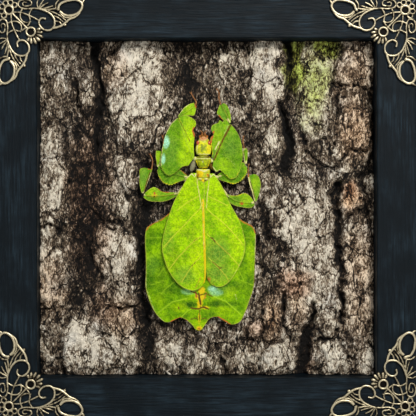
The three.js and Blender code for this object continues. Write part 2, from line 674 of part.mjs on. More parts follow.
const legs = {
  fore_left: {
    femur: {
      axis: [[-5.0, 9.6], [-7.2, 15.4], [-9.6, 21.6], [-12.6, 30.0]],
      left: [
        [-6.0, 8.4], [-7.6, 6.2], [-10.3, 5.6], [-13.5, 3.0], [-16.7, 1.2], [-19.2, 2.2], [-21.4, 5.9],
        [-21.2, 10.4], [-20.2, 17.4], [-18.9, 22], [-16.3, 27], [-13.1, 30.2],
      ],
      right: [
        [-4.4, 10.8], [-4.6, 13.5], [-4.7, 16.6], [-4.4, 19.6], [-4.2, 22.2], [-5.0, 24], [-3.7, 26.6],
        [-3.9, 28.8], [-5.8, 30.4], [-7.8, 31.4], [-9.9, 31.7], [-12.2, 30.6],
      ],
      height: 3.6, shaft: 0.9, rows: 14,
    },
    tibia: {
      axis: [[-12.3, 30.7], [-7.6, 34], [-3.9, 36.9]],
      left: [[-12.7, 31.2], [-9.9, 35.2], [-7.2, 37.2], [-4.6, 38.1]],
      right: [[-11.6, 30.9], [-7.4, 31.6], [-4.4, 31.9], [-3.3, 36.4]],
      height: 3.4, slope: -0.9, rows: 7,
    },
    tarsus: [[-3.9, 37.0, 2.4], [-3.4, 38.2, 2.2], [-4.1, 39.7, 1.6], [-5.1, 41.3, 1.0], [-6.0, 43.0, 0.8]],
  },
  fore_right: {
    femur: {
      axis: [[5.2, 9.6], [7.4, 15.2], [10, 20.8], [13.5, 26.9]],
      left: [
        [4.4, 10.6], [4.7, 13.8], [3.9, 17.2], [3.8, 20.2], [5.6, 22.3], [4.1, 24.5], [4.6, 26.4],
        [6.3, 27.4], [7.7, 27.9], [8.4, 29.2], [9.8, 28.3], [11.5, 29.5], [13.1, 27.6],
      ],
      right: [
        [5.6, 8.6], [4.9, 5.4], [6.7, 3.1], [8.6, 3.9], [11.4, 1.5], [13.8, -0.5], [16.6, 0.1],
        [18.6, 3.5], [19.6, 7.8], [20.1, 12], [19.2, 18.1], [17.3, 22.9], [14.1, 27],
      ],
      height: 3.6, shaft: 0.9, rows: 14,
    },
    tibia: {
      axis: [[13.4, 27.6], [11.6, 32.6], [9.2, 36.9]],
      left: [[12.6, 28.6], [10.2, 29.2], [7.2, 32.4], [7.5, 34.6], [8.3, 36.9]],
      right: [[14.0, 27.9], [14.0, 31.3], [13, 35], [11.7, 37.2], [10.1, 37.9]],
      height: 3.4, slope: -0.9, rows: 7,
    },
    tarsus: [[9.0, 36.9, 2.4], [8.5, 38.6, 2.1], [8.0, 40.6, 1.5], [8.1, 43, 0.9], [7.3, 44.8, 0.8]],
  },
  mid_left: {
    femur: {
      axis: [[-7.6, 0.1], [-12.2, 1.6], [-17.4, 3.2], [-22.6, 4.9]],
      left: [[-8.0, 1.4], [-11, 3.8], [-14.6, 5.6], [-18.4, 7.0], [-21.4, 7.0], [-22.9, 5.6]],
      right: [
        [-7.9, -0.8], [-10.1, -1.2], [-13, -2.3], [-16.4, -3.6], [-19.4, -2.8], [-20.9, -1.6],
        [-22.5, 0.8], [-23.2, 4.0],
      ],
      height: 1.95, shaft: 0.7,
    },
    tibia: {
      axis: [[-22.6, 5.4], [-21.9, 9.2], [-20.9, 13.6]],
      left: [[-23.3, 5.8], [-23.6, 8.4], [-24.0, 11.4], [-23.8, 13.9]],
      right: [[-22.2, 6.2], [-21.5, 9.4], [-20.6, 12.4], [-20.5, 13.8]],
      height: 1.95, slope: -0.5, rows: 6, columns: 4, shaft: 0.65,
    },
    tarsus: [[-20.9, 13.4, 1.4], [-20.3, 15.6, 1.2], [-20.0, 17.8, 0.9], [-20.5, 21.2, 0.75]],
  },
  mid_right: {
    femur: {
      axis: [[7.2, 0.4], [11.8, 2.2], [16.6, 4.2], [21.3, 6.6]],
      left: [[7.5, 1.6], [10.6, 4.4], [14, 6.2], [17.6, 7.9], [20.6, 7.9]],
      right: [
        [7.5, -0.4], [9.7, -1.4], [12.8, -2.4], [15.6, -3.1], [18.6, -1.8], [20.6, -0.2],
        [22.2, 2.6], [22.3, 5.2],
      ],
      height: 1.95, shaft: 0.7,
    },
    tibia: {
      axis: [[21.4, 7.1], [21.2, 11], [20.9, 15]],
      left: [[20.9, 7.6], [20.7, 10], [20.4, 12.6], [20.3, 15.1]],
      right: [[22.1, 7.4], [22.4, 9.6], [22.7, 13], [22.0, 15.2]],
      height: 1.95, slope: -0.5, rows: 6, columns: 4, shaft: 0.65,
    },
    tarsus: [[20.9, 14.8, 1.4], [20.5, 16.6, 1.2], [20.2, 18.6, 0.9], [20.4, 20.8, 0.75]],
  },
  hind_left: {
    femur: {
      axis: [[-12.8, -8.0], [-18.4, -8.8], [-24.2, -9.2], [-30.0, -8.7]],
      left: [
        [-13.2, -9.0], [-15.3, -10.3], [-17.8, -11.3], [-20.9, -12], [-25.5, -11.9], [-28.2, -11.3],
        [-30.2, -9.8],
      ],
      right: [
        [-13.4, -7.4], [-17.3, -7.1], [-20.9, -6.8], [-22.4, -5.6], [-25, -4.6], [-27.5, -5.9],
        [-29.6, -7.8],
      ],
      height: 1.5, shaft: 0.7,
    },
    tibia: {
      axis: [[-30.5, -7.8], [-28.6, -1.8], [-26.3, 4.4]],
      left: [[-31.2, -7.4], [-32.1, -3.4], [-32.2, 1.4], [-31.9, 4.6], [-29.4, 5.2]],
      right: [[-29.9, -7.2], [-28.6, -3.6], [-27.4, -0.4], [-26.3, 2.6], [-25.6, 4.9]],
      height: 1.5, slope: -0.3, rows: 7, shaft: 0.65,
    },
    tarsus: [[-26.2, 4.4, 1.15], [-25.7, 6.6, 0.95], [-25.7, 9.4, 0.8], [-26.8, 11.9, 0.75]],
  },
  hind_right: {
    femur: {
      axis: [[12.0, -8.9], [16.4, -11.4], [21, -12.4], [26.0, -12.7]],
      left: [
        [12.2, -9.6], [13.3, -12.3], [15.7, -13.8], [18.1, -14.5], [21.8, -15.1], [24.2, -15.1],
        [26.0, -13.9],
      ],
      right: [
        [12.3, -8.2], [14.5, -8.8], [17.4, -8.8], [20.3, -7.7], [22.4, -8.1], [24.3, -9.8], [25.8, -12],
      ],
      height: 1.5, shaft: 0.7,
    },
    tibia: {
      axis: [[26.5, -12.0], [25.2, -5.4], [23.4, 1.3]],
      left: [[25.9, -11.6], [25.0, -7.6], [23.6, -3.4], [22.8, 0.4], [22.7, 2.1]],
      right: [[27.2, -11.4], [28.7, -7], [29.2, -2.8], [27.8, 1.2], [25.6, 2.0]],
      height: 1.5, slope: -0.3, rows: 7, shaft: 0.65,
    },
    tarsus: [[23.2, 1.4, 1.1], [22.9, 3.0, 0.78], [22.9, 4.8, 0.74], [23.1, 6.6, 0.74]],
  },
};
for (const [name, { femur, tibia, tarsus }] of Object.entries(legs)) {
  const thorax = name.startsWith("fore") ? prothorax(gap) : mesothorax(gap);
  const foot = limb(tarsus, [0.5, 0.42, 0.4, 0.36, 0.3], 7, 6);
  place(`${name}_femur`, leg(femur).subtract(thorax), "leaf");
  place(`${name}_tibia`, leg(tibia).subtract(leg(femur, gap)), "leaf");
  place(`${name}_tarsus`, foot.subtract(leg(tibia, gap)), "tan");
}

export default root;
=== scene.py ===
import math

import bmesh
import bpy
from mathutils import Matrix, Vector, noise


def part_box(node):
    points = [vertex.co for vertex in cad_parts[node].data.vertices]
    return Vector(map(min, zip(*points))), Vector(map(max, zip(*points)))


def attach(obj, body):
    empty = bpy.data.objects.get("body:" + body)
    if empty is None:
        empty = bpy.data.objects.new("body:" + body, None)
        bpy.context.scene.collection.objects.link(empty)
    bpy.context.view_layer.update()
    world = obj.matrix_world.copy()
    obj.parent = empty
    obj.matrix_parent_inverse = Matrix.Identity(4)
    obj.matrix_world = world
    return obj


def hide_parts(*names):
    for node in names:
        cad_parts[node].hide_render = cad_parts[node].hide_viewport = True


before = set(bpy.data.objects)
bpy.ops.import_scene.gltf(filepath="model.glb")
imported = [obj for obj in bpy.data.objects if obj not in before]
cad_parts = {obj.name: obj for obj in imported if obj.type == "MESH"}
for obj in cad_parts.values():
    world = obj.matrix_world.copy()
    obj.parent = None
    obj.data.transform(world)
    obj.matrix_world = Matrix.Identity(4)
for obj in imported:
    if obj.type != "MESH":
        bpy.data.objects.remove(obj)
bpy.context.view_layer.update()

noise.seed_set(7)  # noise_vector would follow the clock otherwise
mm = 0.001
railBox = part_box("frame_rail_top")
faceY = railBox[0][1] / mm  # front face of the frame
middleZ = railBox[1][2] / mm / 2  # middle of the window
halfWindow = railBox[0][2] / mm - middleZ
seatDepth = 11
seatY = faceY + seatDepth  # the bark's seat under the insect
print("frame loaded, window", round(2 * halfWindow, 1), "mm")


# Camera
view = {"distance": 700, "side": 0.5, "width": 208}
camera = bpy.data.objects.new("camera", bpy.data.cameras.new("camera"))
bpy.context.scene.collection.objects.link(camera)
camera.location = Vector((view["side"], faceY - view["distance"], middleZ)) * mm
camera.rotation_euler = (math.pi / 2, 0, 0)
camera.data.lens = camera.data.sensor_width * view["distance"] / view["width"]
bpy.context.scene.camera = camera


# Shader maths on sockets
class Sock:
    def __init__(self, look, socket):
        self.look = look
        self.socket = socket

    def math(self, operation, *others):
        values = dict(enumerate((self, *others)))
        return self.look.out("ShaderNodeMath", {"operation": operation}, values)

    def __add__(self, other):
        return self.math("ADD", other)

    __radd__ = __add__

    def __sub__(self, other):
        return self.math("SUBTRACT", other)

    def __rsub__(self, other):
        return (self * -1) + other

    def __mul__(self, other):
        return self.math("MULTIPLY", other)

    __rmul__ = __mul__

    # 0 below low, 1 above high, smooth between
    def rise(self, low, high):
        settings = {"interpolation_type": "SMOOTHSTEP"}
        places = {"Value": self, "From Min": low, "From Max": high}
        return self.look.out("ShaderNodeMapRange", settings, places)


class Look:
    def __init__(self, name, **surface):
        self.material = bpy.data.materials.new(name)
        self.material.use_nodes = True
        self.tree = self.material.node_tree
        self.surface = self.tree.nodes["Principled BSDF"]
        for socket, value in surface.items():
            self.set(socket.replace("_", " "), value)

    def node(self, kind, settings, sockets):
        made = self.tree.nodes.new(kind)
        for key, value in settings.items():
            if key == "stops":
                ramp = made.color_ramp
                while len(ramp.elements) < len(value):
                    ramp.elements.new(0.5)
                for element, (place, colour) in zip(ramp.elements, value):
                    element.position = place
                    element.color = (*colour, 1)
            else:
                setattr(made, key, value)
        for key, value in sockets.items():
            self.plug(made.inputs[key], value)
        return made

    def plug(self, target, value):
        if isinstance(value, Sock):
            self.tree.links.new(value.socket, target)
        elif isinstance(value, tuple) and len(value) == 3 and target.type == "RGBA":
            target.default_value = (*value, 1)
        else:
            target.default_value = value

    def out(self, kind, settings, sockets, output=0):
        return Sock(self, self.node(kind, settings, sockets).outputs[output])

    def set(self, socket, value):
        self.plug(self.surface.inputs[socket], value)

    # Object coordinates in millimetres, stretched by the three factors
    def place(self, stretch=(1, 1, 1)):
        where = self.out("ShaderNodeTexCoord", {}, {}, "Object")
        scale = tuple(1000 * part for part in stretch)
        return self.out("ShaderNodeMapping", {}, {"Vector": where, "Scale": scale})

    def warp(self, vector, size, amount):
        swirl = self.out("ShaderNodeTexNoise", {}, {"Vector": vector, "Scale": 1 / size}, "Color")
        shift = self.vector("SUBTRACT", swirl, (0.5, 0.5, 0.5))
        return self.vector("ADD", vector, self.vector("SCALE", shift, None, amount))

    def vector(self, operation, first, second=None, scale=None):
        sockets = {0: first}
        if second is not None:
            sockets[1] = second
        if scale is not None:
            sockets["Scale"] = scale
        return self.out("ShaderNodeVectorMath", {"operation": operation}, sockets)

    def grain(self, vector, size, detail=4, rough=0.55):
        sockets = {"Vector": vector, "Scale": 1 / size, "Detail": detail, "Roughness": rough}
        return self.out("ShaderNodeTexNoise", {}, sockets)

    def cells(self, vector, size, feature="F1", output="Distance"):
        sockets = {"Vector": vector, "Scale": 1 / size}
        return self.out("ShaderNodeTexVoronoi", {"feature": feature}, sockets, output)

    def attribute(self, name):
        return self.out("ShaderNodeAttribute", {"attribute_name": name}, {}, "Fac")

    def mix(self, first, second, factor, blend="MIX"):
        settings = {"data_type": "RGBA", "blend_type": blend, "clamp_factor": True}
        return self.out("ShaderNodeMix", settings, {0: factor, 6: first, 7: second}, 2)

    def ramp(self, value, *stops):
        return self.out("ShaderNodeValToRGB", {"stops": stops}, {"Fac": value})

    def bump(self, height, distance, strength=1.0):
        sockets = {"Height": height, "Distance": distance * mm, "Strength": strength}
        self.set("Normal", self.out("ShaderNodeBump", {}, sockets))


# Every finished piece goes through here
def piece(name, bm, look, replaces):
    mesh = bpy.data.meshes.new(name)
    bm.to_mesh(mesh)
    bm.free()
    made = bpy.data.objects.new(name, mesh)
    bpy.context.scene.collection.objects.link(made)
    mesh.materials.append(look.material)
    mesh.polygons.foreach_set("use_smooth", [True] * len(mesh.polygons))
    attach(made, "root")
    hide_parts(*replaces)


# A curve as thick as its points' radii in millimetres
def newCurve(name, roundness):
    curve = bpy.data.curves.new(name, "CURVE")
    curve.dimensions = "3D"
    curve.bevel_depth = mm
    curve.bevel_resolution = roundness
    curve.use_fill_caps = True
    return curve


def curveMesh(curve):
    holder = bpy.data.objects.new(curve.name, curve)
    bm = bmesh.new()
    bm.from_mesh(holder.to_mesh())
    holder.to_mesh_clear()
    bpy.data.objects.remove(holder)
    return bm


def dress(node, look):
    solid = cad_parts[node]
    solid.data.materials.clear()
    solid.data.materials.append(look.material)


def soft(value):
    value = min(1, max(0, value))
    return value * value * (3 - 2 * value)


def lineDistance(x, z, points):
    best = 1e9
    for (ax, az), (bx, bz) in zip(points, points[1:]):
        dx, dz = bx - ax, bz - az
        share = ((x - ax) * dx + (z - az) * dz) / (dx * dx + dz * dz)
        share = min(1, max(0, share))
        best = min(best, math.hypot(x - ax - share * dx, z - az - share * dz))
    return best


# Stage and light
stage = {
    "floor": 3.0, "sky": 0.3,
    # power, size, place and colour
    "lamps": {
        "key": (12.5, 0.3, (0.34, -1.0, 0.74), (1, 0.98, 0.94)),
        "fill": (1.6, 0.9, (-0.8, -0.9, 0.5), (0.9, 0.95, 1)),
        "rear": (2, 0.8, (0.2, 1.2, 0.8), (1, 1, 1)),
    },
}
bpy.context.scene.view_settings.view_transform = "Standard"
bm = bmesh.new()
bmesh.ops.create_grid(bm, x_segments=1, y_segments=1, size=stage["floor"])
floorMesh = bpy.data.meshes.new("floor")
bm.to_mesh(floorMesh)
bm.free()
floor = bpy.data.objects.new("floor", floorMesh)
bpy.context.scene.collection.objects.link(floor)
floorLook = Look("pale floor", Base_Color=(0.72, 0.71, 0.69), Roughness=0.8)
floorMesh.materials.append(floorLook.material)

world = bpy.data.worlds.new("studio")
bpy.context.scene.world = world
world.use_nodes = True
sky = world.node_tree.nodes["Background"]
sky.inputs["Color"].default_value = (0.93, 0.96, 1, 1)
sky.inputs["Strength"].default_value = stage["sky"]

for name, (power, size, place, colour) in stage["lamps"].items():
    lamp = bpy.data.lights.new(name, "AREA")
    lamp.energy = power
    lamp.size = size
    lamp.color = colour
    made = bpy.data.objects.new(name, lamp)
    bpy.context.scene.collection.objects.link(made)
    made.location = place
    aim = Vector((0, 0, middleZ * mm)) - Vector(place)
    made.rotation_euler = aim.to_track_quat("-Z", "Y").to_euler()
print("camera, floor and lights made")


# Frame: black paint worn over a straight grain
rails = {
    "paint": (0.0004, 0.0032, 0.0056), "worn": (0.018, 0.036, 0.052), "gloss": 0.14, "grain": 0.06,
}


def blackWood(name, stretch):
    look = Look(name, Specular_IOR_Level=rails["gloss"])
    along = look.place(stretch)
    fibre = look.grain(along, 0.9, 5, 0.6)
    scratch = look.grain(look.warp(along, 9, 1.2), 0.35, 3, 0.7).rise(0.62, 0.74)
    cloud = look.grain(look.place(), 14, 3)
    worn = (fibre.rise(0.35, 0.75) * cloud.rise(0.3, 0.75) * 0.8 + scratch * 0.5).math("MINIMUM", 1.0)
    look.set("Base Color", look.mix(rails["paint"], rails["worn"], worn))
    look.set("Roughness", 0.4 + fibre * 0.25)
    look.bump(fibre + scratch * 0.4, 0.25)
    return look


acrossLook = blackWood("black wood across", (rails["grain"], 1, 1))
uprightLook = blackWood("black wood upright", (1, 1, rails["grain"]))
for look, sides in ((acrossLook, ("top", "bottom")), (uprightLook, ("left", "right"))):
    for side in sides:
        dress("frame_rail_" + side, look)

boardLook = Look("hardboard", Roughness=0.8)
flake = boardLook.grain(boardLook.place((1, 1, 0.4)), 1.4, 6, 0.65)
boardLook.set("Base Color", boardLook.ramp(flake, (0.3, (0.12, 0.07, 0.035)), (0.75, (0.3, 0.19, 0.1))))
boardLook.bump(flake, 0.1)
dress("back_board", boardLook)

steelLook = Look("zinc plated steel", Metallic=1.0, Roughness=0.38)
spangle = steelLook.cells(steelLook.place(), 1.6, output="Color")
haze = steelLook.grain(steelLook.place(), 3, 4)
steelLook.set("Base Color", steelLook.mix((0.5, 0.51, 0.53), spangle, 0.08))
steelLook.set("Roughness", 0.3 + haze * 0.25)
for node in ("board_tab_1", "board_tab_2", "board_tab_3", "board_tab_4", "wall_hanger"):
    dress(node, steelLook)
print("frame dressed")


# Filigree corners, drawn at the top left: a runs right from the frame's corner and b down.
# Every stroke of the half is made twice, the second time mirrored in the diagonal.
filigree = {
    "thin": 0.46, "heavy": 0.7, "ring": 0.58, "petal": 0.42, "bar": 0.5,  # radii of the strokes
    "relief": 1.5, "level": 0.55, "flat": 0.985, "gap": 0.3, "web": 0.1,
    "rosette": {"at": 6.1, "radius": 2.1, "petals": 6, "spread": 0.66, "reach": 3.75, "petal": 1.25},
    "shell": {
        "at": 17, "radius": 2.15, "petals": 7, "spread": 0.37, "longest": 7.2, "shortest": 5.4,
        "hub": 2.3, "wide": 2.1, "high": 1.4,
    },
    "beads": [(30.4, 5.7, 2.7), (33.9, 13.6, 2.3)],  # a, b and size
}
thin = filigree["thin"]
heavy = filigree["heavy"]
halfCorner = [
    # the flattened spiral, running on into the stem as far as its bead
    ([(15.2, 2.4), (13.2, 2.5), (13.3, 3.9), (15.4, 4.1), (17.4, 3.3), (16.6, 1.4), (13.6, 0.9),
      (11.2, 1.9), (11.0, 4.2), (13.6, 5.4), (19, 5.3), (25.1, 5.9), (29.6, 5.4)], thin, 0.75, 1),
    # the C scroll that grows out of the stem
    ([(24.6, 10.6), (22.4, 10.3), (21.2, 11.9), (21.8, 14.3), (24.6, 16.2), (27.9, 15.4), (29.0, 12.0),
      (27.6, 8.8), (24, 6.4), (21.5, 5.5)], 0.58, 0.9, 1),
    # the large loop at the end
    ([(30.8, 5.6), (31.4, 3.6), (33.6, 2.1), (37.2, 1.2), (40.6, 1.3), (42.7, 3.4), (42.0, 6.2),
      (39.6, 8.2), (36.6, 8.9), (33.8, 8.5), (31.6, 6.8)], heavy, 1, 1),
    # the scalloped lower edge from the loop to the C scroll
    ([(41.6, 7.4), (39.6, 9.4), (36.6, 10.6), (34.4, 12.4), (31.8, 14.2), (27.9, 15.3)], 0.66, 0.7, 1),
    # the short tip past the loop
    ([(42.2, 2.9), (43.2, 1.9), (43.8, 0.9)], 0.6, 1, 0.6),
    # inner leaf of the loop
    ([(31.6, 7.4), (33.6, 9.6), (36.0, 9.9), (38.4, 9.0)], thin, 1, 0.7),
    # fan strokes above the stem
    ([(20.6, 5), (20.2, 2.6), (20.9, 0.8)], thin, 0.9, 0.7),
    ([(21.0, 5.2), (22.2, 3.0), (23.5, 0.9)], thin, 0.9, 0.8),
    ([(21.4, 5.4), (23.6, 3.6), (26.0, 2.4)], thin, 0.9, 0.8),
    ([(22.4, 5.6), (25.4, 4.9), (28.2, 4.0)], thin, 0.9, 0.8),
    ([(29.4, 5.2), (29.6, 3.0), (31.2, 0.9)], thin, 0.9, 0.7),
    # leaf strokes below the stem
    ([(25.6, 6.4), (28.6, 7.4), (31.6, 9.0), (34.6, 11.4)], 0.42, 1, 0.8),
    ([(27.4, 8.9), (30.0, 9.6), (33.2, 12.0)], 0.42, 1, 0.8),
    ([(28.9, 11.6), (31.4, 12.2), (32.6, 13.6)], 0.42, 1, 0.8),
    # lattice between the two rosettes
    ([(7.6, 7.2), (12.4, 7.5), (17.4, 9.4), (21.6, 11.6)], 0.44, 1, 1),
    ([(12.9, 5.2), (11.8, 8.4), (12.6, 11.4), (15.0, 12.4), (17.2, 11.9)], 0.44, 1, 1),
    ([(17.7, 5.4), (16.2, 8.6), (16.7, 11.6), (15.6, 13.8), (14.4, 14.9)], 0.44, 1, 1),
    ([(9.2, 4.9), (10.6, 3.2)], 0.44, 1, 0.8),
]


def strand(curve, points, radius, start=1, end=1, cyclic=False):
    spline = curve.splines.new("BEZIER")
    spline.bezier_points.add(len(points) - 1)
    spline.use_cyclic_u = cyclic
    level = -filigree["level"] * filigree["relief"]
    for step, (place, (a, b)) in enumerate(zip(spline.bezier_points, points)):
        share = step / max(1, len(points) - 1)
        place.co = Vector((a, level, -b)) * mm
        place.handle_left_type = "AUTO"
        place.handle_right_type = "AUTO"
        place.radius = radius * (start + (1 - start) * min(1, 3 * share))
        place.radius *= 1 if share < 0.6 else 1 + (end - 1) * (share - 0.6) / 0.4


def ringPoints(a, b, radius, count=8):
    turn = 2 * math.pi / count
    return [(a + radius * math.cos(k * turn), b + radius * math.sin(k * turn)) for k in range(count)]


# A rounded drop of metal lying on the casting
def drop(bm, a, b, angle, length, width, height):
    made = bmesh.ops.create_uvsphere(bm, u_segments=10, v_segments=8, radius=1)
    for vertex in made["verts"]:
        along, up, across = vertex.co
        fat = 0.72 + 0.28 * along
        x = along * length / 2
        z = across * width / 2 * fat
        y = -filigree["relief"] * 0.5 - up * height / 2 * fat
        vertex.co.x = (a + x * math.cos(angle) - z * math.sin(angle)) * mm
        vertex.co.z = -(b + x * math.sin(angle) + z * math.cos(angle)) * mm
        vertex.co.y = y * mm


def corner():
    curve = newCurve("corner", 2)
    curve.resolution_u = 5
    for points, radius, start, end in halfCorner:
        strand(curve, points, radius, start, end)
        strand(curve, [(b, a) for a, b in points], radius, start, end)
    strand(curve, [(7.7, 7.7), (15.4, 15.4)], filigree["bar"])
    rosette = filigree["rosette"]
    shell = filigree["shell"]
    for form in (rosette, shell):
        strand(curve, ringPoints(form["at"], form["at"], form["radius"]), filigree["ring"], cyclic=True)
    for step in range(rosette["petals"]):
        angle = -0.75 * math.pi + (step - (rosette["petals"] - 1) / 2) * rosette["spread"]
        a = rosette["at"] + math.cos(angle) * rosette["reach"]
        b = rosette["at"] + math.sin(angle) * rosette["reach"]
        strand(curve, ringPoints(a, b, rosette["petal"], 6), filigree["petal"], cyclic=True)
    bm = curveMesh(curve)
    for step in range(shell["petals"]):
        away = step - (shell["petals"] - 1) / 2
        reach = shell["longest"] - (shell["longest"] - shell["shortest"]) * (abs(away) / 3) ** 2
        angle = math.pi / 4 + away * shell["spread"]
        length = reach - shell["hub"]
        centre = shell["hub"] + length / 2
        a = shell["at"] + math.cos(angle) * centre
        b = shell["at"] + math.sin(angle) * centre
        drop(bm, a, b, angle, length, shell["wide"], shell["high"])
    for a, b, size in filigree["beads"]:
        for c, d in ((a, b), (b, a)):
            drop(bm, c, d, 0, size, size, filigree["relief"])
    low = -filigree["relief"] * filigree["flat"] * mm
    for vertex in bm.verts:
        vertex.co.y = min(0, max(low, vertex.co.y))
    # the rings close on a thin web, near black as painted shade inside the rings
    for form in (rosette, shell):
        middle = Matrix.Translation(Vector((form["at"], -filigree["web"], -form["at"])) * mm)
        web = middle @ Matrix.Rotation(math.pi / 2, 4, "X")
        bmesh.ops.create_circle(bm, cap_ends=True, segments=24, radius=form["radius"] * mm, matrix=web)
    return bm


brassLook = Look("aged brass", Metallic=0.85)
# Partly the patina that aged brass holds in its hollows, partly painted light: near black where the
# casting sits low, as painted shade beside each strand, and a pale painted highlight on its tops
castHeight = brassLook.out("ShaderNodeSeparateXYZ", {}, {0: brassLook.place()}, "Y") * -1 + faceY
patina = brassLook.grain(brassLook.place(), 1.3, 5, 0.6)
patinaAndPaintedLight = (castHeight + patina * 1.1).rise(1.5, 2.3)
brassColour = brassLook.ramp(
    patinaAndPaintedLight, (0.0, (0.004, 0.003, 0.002)), (0.5, (0.07, 0.053, 0.028)), (1.0, (0.66, 0.57, 0.38))
)
brassLook.set("Base Color", brassColour)
brassLook.set("Roughness", 0.6 - patinaAndPaintedLight * 0.25)
brassLook.bump(patina, 0.08)

for step, place in enumerate(("top_left", "top_right", "bottom_right", "bottom_left")):
    bm = corner()
    shift = Matrix.Translation(Vector((-middleZ, faceY - filigree["gap"], middleZ)) * mm)
    turn = Matrix.Rotation(math.pi / 2 * step, 4, "Y")
    lift = Matrix.Translation(Vector((0, 0, middleZ)) * mm)
    bmesh.ops.transform(bm, matrix=lift @ turn @ shift, verts=bm.verts)
    bmesh.ops.recalc_face_normals(bm, faces=bm.faces)
    piece("filigree_casting_" + place, bm, brassLook, ["filigree_" + place])
print("filigree made")


# Bark, in millimetres from the middle of the window
bark = {
    "cells": 300, "gap": 0.3, "floor": -2.2, "wobble": 2.2, "curl": 1.3,
    "swell": 1.2, "dome": 0.38, "furrow": 0.62, "patch": 1.3,
    "fibre": 0.42, "rough": 0.8, "pit": 0.45, "flake": 0.62,
}
seat = {"x": -2, "z": -2.8, "halfWidth": 37, "halfHeight": 66, "sink": 0.05, "climb": 14}
# Swells are x, z, half width, half height and rise.
swells = [
    (-79, 68, 9, 22, 1.6), (-79, 12, 9, 26, 2.0), (-78, -30, 10, 19, 2.2), (-81, -66, 6, 10, 1.2),
    (-61, 56, 4, 8, 1.5), (-35, 58, 13, 30, 3.2), (-41, 18, 8, 10, 2.6), (-48, 3, 9, 7, 1.2),
    (-47, -22, 10, 12, 2.6), (-43, -42, 9, 8, 2.2), (-54, -50, 8, 9, 1.6), (-39, -58, 6, 7, 1.4),
    (-60, -70, 14, 14, 3.4), (-36, -76, 8, 10, 1.0), (-24, -74, 3, 12, 1.0), (-17, -75, 5, 11, 1.4),
    (-10, -70, 5, 6, 1.2), (14, 71, 7, 12, 1.2), (31, 70, 9, 18, 2.8), (33, 38, 5, 15, 1.6),
    (55, 62, 8, 24, 2.6), (75, 74, 9, 13, 2.0), (75, 40, 9, 11, 2.6), (72, 24, 8, 8, 1.4),
    (73, 7, 5, 8, 2.4), (84, 8, 3, 9, 1.0), (48, -6, 15, 17, 2.8), (52, -34, 15, 18, 2.6),
    (29, -22, 3, 7, 1.2), (46, -52, 6, 13, 2.0), (33, -55, 5, 11, 1.4), (24, -62, 3, 4.5, 1.2),
    (61, -50, 6, 16, 2.2), (63, -76, 7, 8, 1.6), (77, -38, 8, 30, 1.6), (83, -78, 6, 7, 1.6),
    (36, -77, 9, 8, 2.6), (5, -78, 5, 7, 1.4),
]
